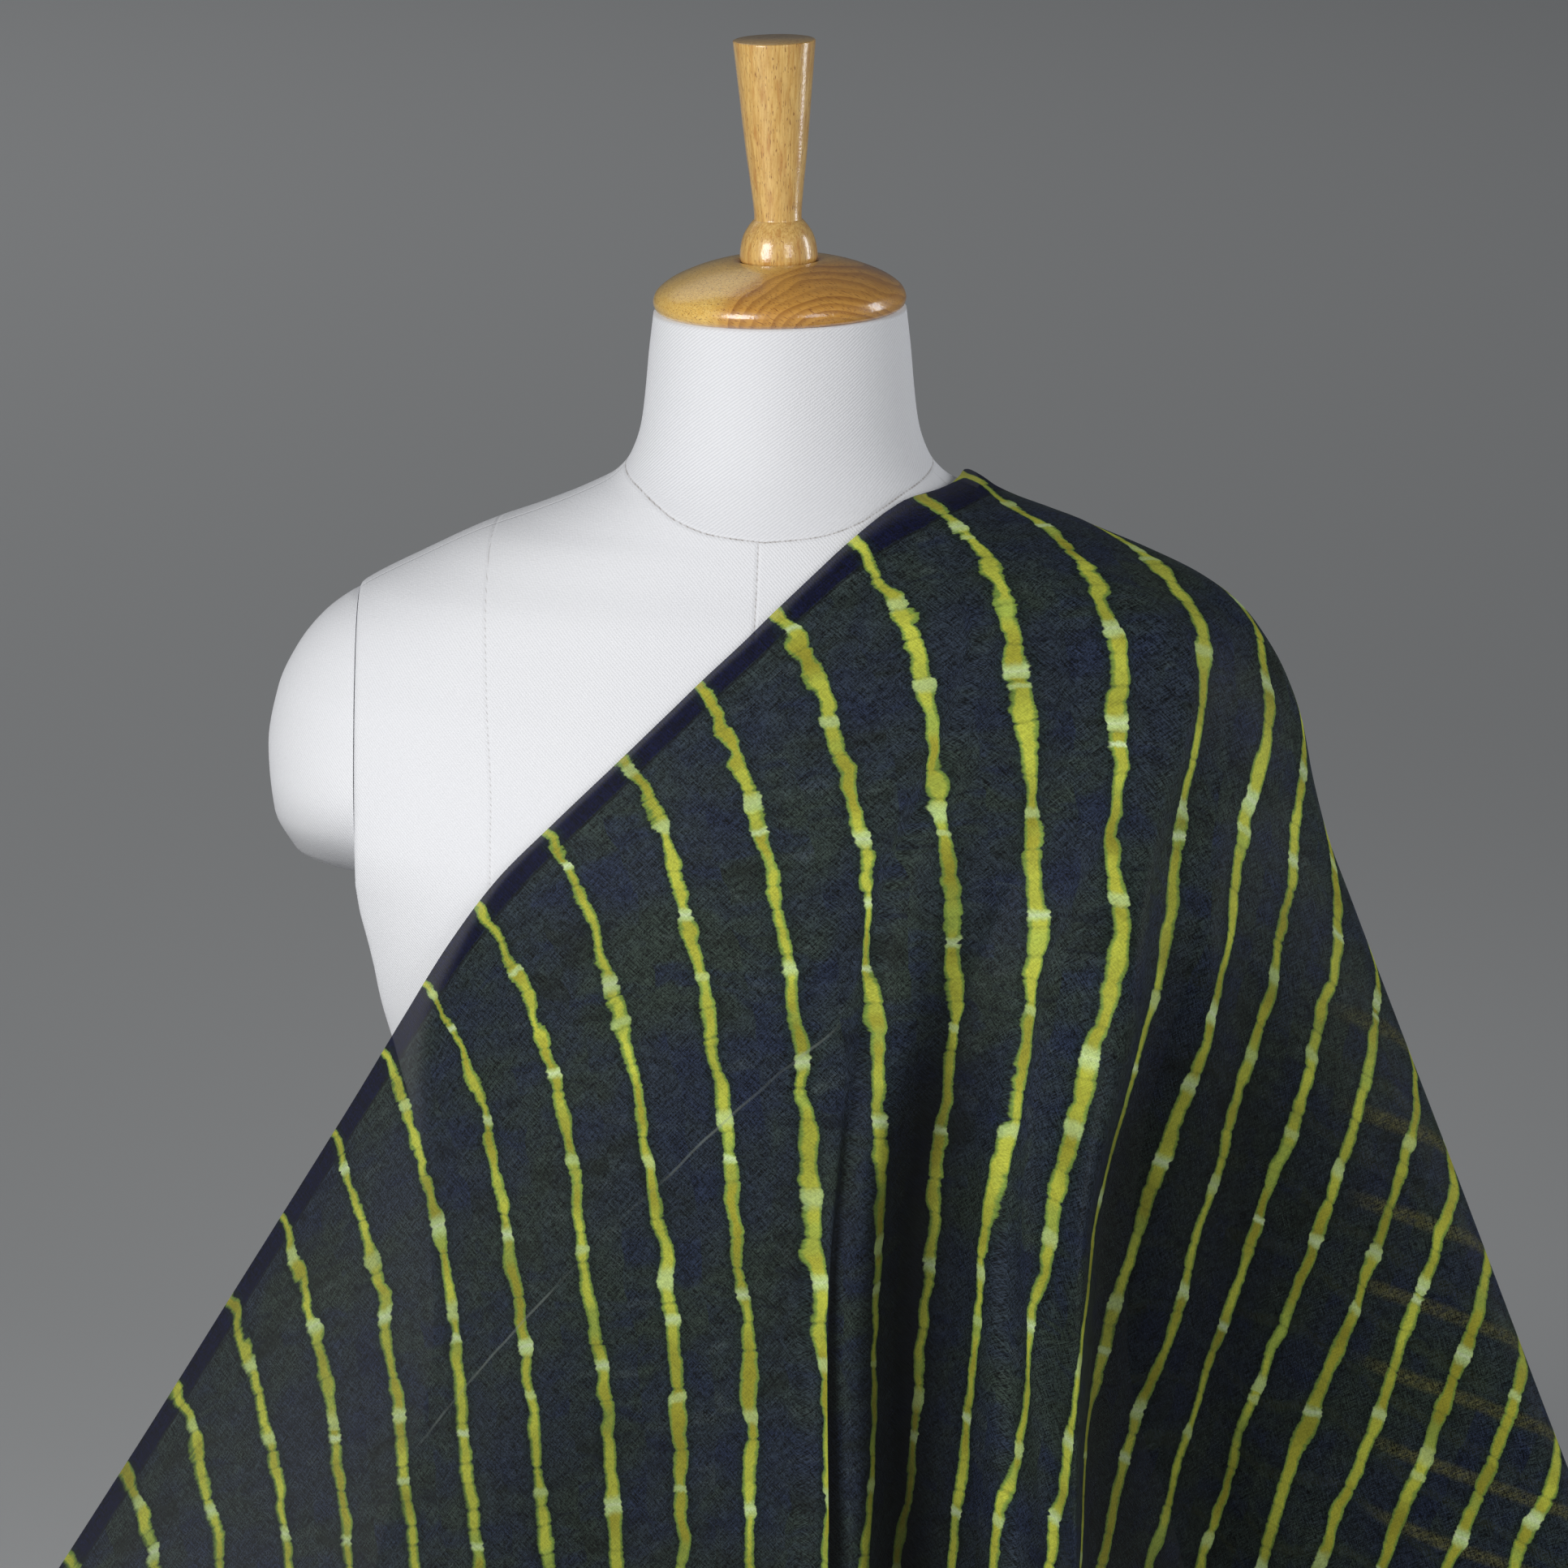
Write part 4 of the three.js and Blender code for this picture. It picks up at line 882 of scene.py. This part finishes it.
def flat_side(y, z):
    """x of the plate, and of the flat side that runs on below it."""
    low = smooth((250 - z) / 60)
    return (curve(SIDE, 0, 1)(z) + ARMHOLE_TOE * smooth((z - 250) / 100) * y) * (1 - low) + 400 * low


def soft_clamp(x, limit, r=2.5):
    """x held inside +-limit, with the corner eased over r."""
    a = np.abs(x)
    d = a - (limit - r)
    eased = np.where(d <= 0, a, np.where(d < 2 * r, limit - r + d - d * d / (4 * r), limit))
    return np.sign(x) * np.minimum(eased, limit)


def build_torso():
    cols = 280
    zs = np.concatenate(
        [np.linspace(0, 400, 70, endpoint=False), np.linspace(400, 620, 170, endpoint=False), np.linspace(620, NECK_TOP_Z, 30)]
    )
    a = np.linspace(0, 2 * np.pi, 3601)[:-1]
    rings, arcs, turns = [], [], []
    for z in zs:
        p, c, s = float(power(z)), np.cos(a), np.sin(a)
        x = float(half(z)) * np.sign(c) * np.abs(c) ** (2 / p)
        y = np.where(s > 0, float(back(z)), float(front(z))) * np.sign(s) * np.abs(s) ** (2 / p)
        w = 1 + 3 * np.exp(-(((np.abs(x) - flat_side(y, z)) / 10) ** 2))
        x = soft_clamp(x, flat_side(y, z))
        seg = np.hypot(np.diff(np.append(x, x[0])), np.diff(np.append(y, y[0]))) * w + 0.02
        run = np.concatenate([[0], np.cumsum(seg)])
        # four quarters, each with the same number of columns
        cut = [0, 900, 1800, 2700, 3600]
        at = []
        for q in range(4):
            lo, hi = run[cut[q]], run[cut[q + 1]]
            at.append(np.linspace(lo, hi, cols // 4, endpoint=False))
        at = np.concatenate(at)
        xx, yy = np.interp(at, run, np.append(x, x[0])), np.interp(at, run, np.append(y, y[0]))
        askew = xx * math.tan(-WOOD_TILT) * smooth((z - 625) / (NECK_TOP_Z - 625))
        rings.append(np.stack([xx, yy, z + askew], -1))
        step = np.hypot(np.diff(np.append(xx, xx[0])), np.diff(np.append(yy, yy[0])))
        arc = np.concatenate([[0], np.cumsum(step)])
        turns.append(arc[-1])
        arcs.append(arc[:-1] - arc[3 * cols // 4])
    v = np.array(rings)
    n = len(zs)
    flat_v = v.reshape(-1, 3)
    # seams: signed distances, in mm
    around = np.degrees(np.abs(np.arctan2(flat_v[:, 0], -flat_v[:, 1])))
    neck = (flat_v[:, 2] - curve(NECK_SEAM, 0, 1)(around)) * 1.15
    centre = flat_v[:, 0] + 2.6
    princess = np.abs(flat_v[:, 0]) - curve(PRINCESS, 0, 1)(flat_v[:, 2])
    shoulder = flat_v[:, 1] + 8.0
    faces = grid_faces(n, cols, wrap=True).tolist()
    low, high = len(flat_v), len(flat_v) + 1
    verts = np.concatenate([flat_v, [[0, 0, 0], [0, 0, NECK_TOP_Z]]])
    faces = [tuple(f) for f in faces]
    faces += [(low, (j + 1) % cols, j) for j in range(cols)]
    last = (n - 1) * cols
    faces += [(high, last + j, last + (j + 1) % cols) for j in range(cols)]
    pad = lambda q: np.concatenate([q, [0.0, 0.0]])
    uvs = {
        "seam_neck": np.stack([pad(neck), pad(centre)], -1) * 0.01,
        "seam_side": np.stack([pad(princess), pad(shoulder)], -1) * 0.01,
        "canvas_run": np.stack([pad(np.concatenate(arcs)), pad(flat_v[:, 2])], -1) * 0.01,
    }
    ob = mesh_object("torso_canvas", verts, faces, uvs)
    # the last column of faces ends a whole turn on
    layer = ob.data.uv_layers["canvas_run"].data
    for i in range(n - 1):
        poly = ob.data.polygons[i * cols + cols - 1]
        for loop in poly.loop_indices:
            at_vertex = ob.data.loops[loop].vertex_index
            if at_vertex % cols == 0:
                layer[loop].uv[0] += turns[at_vertex // cols] * 0.01
    return ob


def build_pad(side, name):
    arc, nz = 56, 76
    start, reach = PAD_ROUND
    zs = start - reach + 0.05 + (542.05 - start + reach) * np.linspace(0, 1, nz) ** 1.35
    rings, runs = [], []
    for z in zs:
        h, p = float(half(z)), float(power(z))
        share = math.sqrt(1 - min(max((start - z) / reach, 0.0), 1.0) ** 2.6)
        tuck = min((z - start + reach) / 10, 1.0) ** 0.3
        ends = []  # how far round the section each end of the plate lies
        for face, depth in ((-1, float(front(z))), (1, float(back(z)))):
            s = 0.3
            for _ in range(60):
                s = max(1 - ((armhole(face * s * depth) + 0.3) / h) ** p, 1e-4) ** (1 / p)
            ends.append(s)
        t = np.linspace(-1, 1, arc + 1)
        s = np.sin(t * np.pi / 2) * np.where(t < 0, ends[0], ends[1])
        y = s * np.where(s > 0, float(back(z)), float(front(z)))
        out = np.maximum(h * (1 - np.abs(s) ** p) ** (1 / p) - armhole(y), 0) * tuck
        # the pad is sewn in a little below the edge of the armhole
        set_in = 1.3 * np.exp(-out / 16)
        y = y * share - np.sin(t * np.pi / 2) * set_in * share
        top = z - (z - 480) / 62 * set_in if z > 480 else z + 0 * y
        x = armhole(y) + 0.05 + out
        rings.append(np.stack([side * x, y, top], -1))
        runs.append(np.concatenate([[0], np.cumsum(np.hypot(np.diff(x), np.diff(y)))]))
    v = np.array(rings)
    m = arc + 1
    faces = grid_faces(nz, m).tolist()
    ids = np.arange(nz * m).reshape(nz, m)
    # the flat plate closes the pad
    faces += [(int(ids[i, -1]), int(ids[i, 0]), int(ids[i + 1, 0]), int(ids[i + 1, -1])) for i in range(nz - 1)]
    faces += [tuple(int(q) for q in ids[0, ::-1]), tuple(int(q) for q in ids[-1])]
    if side < 0:
        faces = [tuple(reversed(f)) for f in faces]
    run = side * np.array(runs).ravel()
    uvs = {"canvas_run": np.stack([run, v[..., 2].ravel()], -1) * 0.01}
    return mesh_object(name, v.reshape(-1, 3), [tuple(f) for f in faces], uvs)


# --------------------------------------------------------- turned pieces ----
def build_turned(name, table, sides=128, steps=6, tilt=0.0):
    """The table's points, joined by an eased line, turned about Z; tilted about the top of the neck."""
    zs = np.array([r[0] for r in table], float)
    rs = np.array([r[1] for r in table], float)
    keys = np.concatenate([[0], np.cumsum(np.hypot(np.diff(zs), np.diff(rs)))])
    t = np.concatenate([np.linspace(a, b, steps, endpoint=False) for a, b in zip(keys[:-1], keys[1:])] + [[keys[-1]]])
    z = curve(list(zip(keys, zs)), 0, 1)(t)
    r = curve(list(zip(keys, rs)), 0, 1)(t)
    a = np.linspace(0, 2 * np.pi, sides, endpoint=False)
    v = np.stack([r[:, None] * np.cos(a), r[:, None] * np.sin(a), np.repeat(z[:, None], sides, 1)], -1).reshape(-1, 3)
    n = len(z)
    verts = np.concatenate([v, [[0, 0, z[0]], [0, 0, z[-1]]]])
    faces = [tuple(f) for f in grid_faces(n, sides, wrap=True).tolist()]
    last = (n - 1) * sides
    faces += [(len(v), (j + 1) % sides, j) for j in range(sides)]
    faces += [(len(v) + 1, last + j, last + (j + 1) % sides) for j in range(sides)]
    if tilt:
        c, s = math.cos(tilt), math.sin(tilt)
        x, zz = verts[:, 0].copy(), verts[:, 2] - NECK_TOP_Z
        verts[:, 0], verts[:, 2] = c * x + s * zz, NECK_TOP_Z - s * x + c * zz
    return mesh_object(name, verts, faces)


# -------------------------------------------------------------- assembly ----
canvas, pad_canvas = canvas_material("white_canvas", True), canvas_material("white_canvas_pad", False)
silk = silk_material()
wood_cap, wood_handle = wood_material("cap_wood", False), wood_material("handle_wood", True)

torso = build_torso()
pad_right, pad_left = build_pad(-1, "arm_cap_right"), build_pad(1, "arm_cap_left")
cap = build_turned("neck_cap_turned", CAP, tilt=WOOD_TILT)
finial = build_turned("finial_turned", FINIAL, sides=96, tilt=WOOD_TILT)
drape = build_cloth()

for piece, node, slot, material in (
    (torso, "form_torso", "canvas", canvas),
    (pad_right, "arm_pad_right", "canvas", pad_canvas),
    (pad_left, "arm_pad_left", "canvas", pad_canvas),
    (cap, "neck_cap", "wood", wood_cap),
    (finial, "finial", "wood", wood_handle),
    (drape, "silk_cloth", "silk", silk),
):
    piece.data.materials.append(material)
    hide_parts(node)
    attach(piece, "root")

# ------------------------------------------------------------ floor, light --
def stage_floor():
    me = bpy.data.meshes.new("floor")
    me.from_pydata([(-20, -20, 0), (20, -20, 0), (20, 20, 0), (-20, 20, 0)], [], [(0, 1, 2, 3)])
    ob = bpy.data.objects.new("floor", me)
    bpy.context.scene.collection.objects.link(ob)
    g = Graph("floor_paint")
    g.set(Base_Color=lin(188, 189, 190), Roughness=0.95)
    g.skin.inputs["Specular IOR Level"].default_value = 0.1
    me.materials.append(g.material)


def area_light(name, place, aim, size, power_, colour=(1, 1, 1), spread=180):
    data = bpy.data.lights.new(name, "AREA")
    data.shape, data.size, data.size_y = "RECTANGLE", size[0], size[1]
    data.energy, data.color = power_, colour
    data.spread = math.radians(spread)
    ob = bpy.data.objects.new(name, data)
    bpy.context.scene.collection.objects.link(ob)
    ob.location = place
    ob.rotation_mode = "QUATERNION"
    ob.rotation_quaternion = (Vector(aim) - Vector(place)).to_track_quat("-Z", "Y")


stage_floor()
area_light("key", (-1.39, -2.17, 1.15), (0.0, 0, 0.46), (1.25, 1.25), 30, (1.0, 0.995, 0.98), 130)
area_light("side", (1.75, 0.45, 0.85), (0, 0, 0.5), (0.38, 1.3), 6.0, (0.97, 0.985, 1.0), 130)
area_light("fill", (1.6, -2.2, 1.3), (0, 0, 0.5), (1.0, 1.0), 8, (1.0, 0.98, 0.96), 130)
area_light("far_floor", (-3.2, 4.6, 4.2), (-2.2, 4.4, 0), (5.0, 5.0), 42, (1, 1, 1), 120)
world = bpy.data.worlds.new("studio")
world.use_nodes = True
world.node_tree.nodes["Background"].inputs[0].default_value = (0.9, 0.95, 1.0, 1)
world.node_tree.nodes["Background"].inputs[1].default_value = 0.10
bpy.context.scene.world = world
bpy.context.scene.view_settings.view_transform = "Standard"
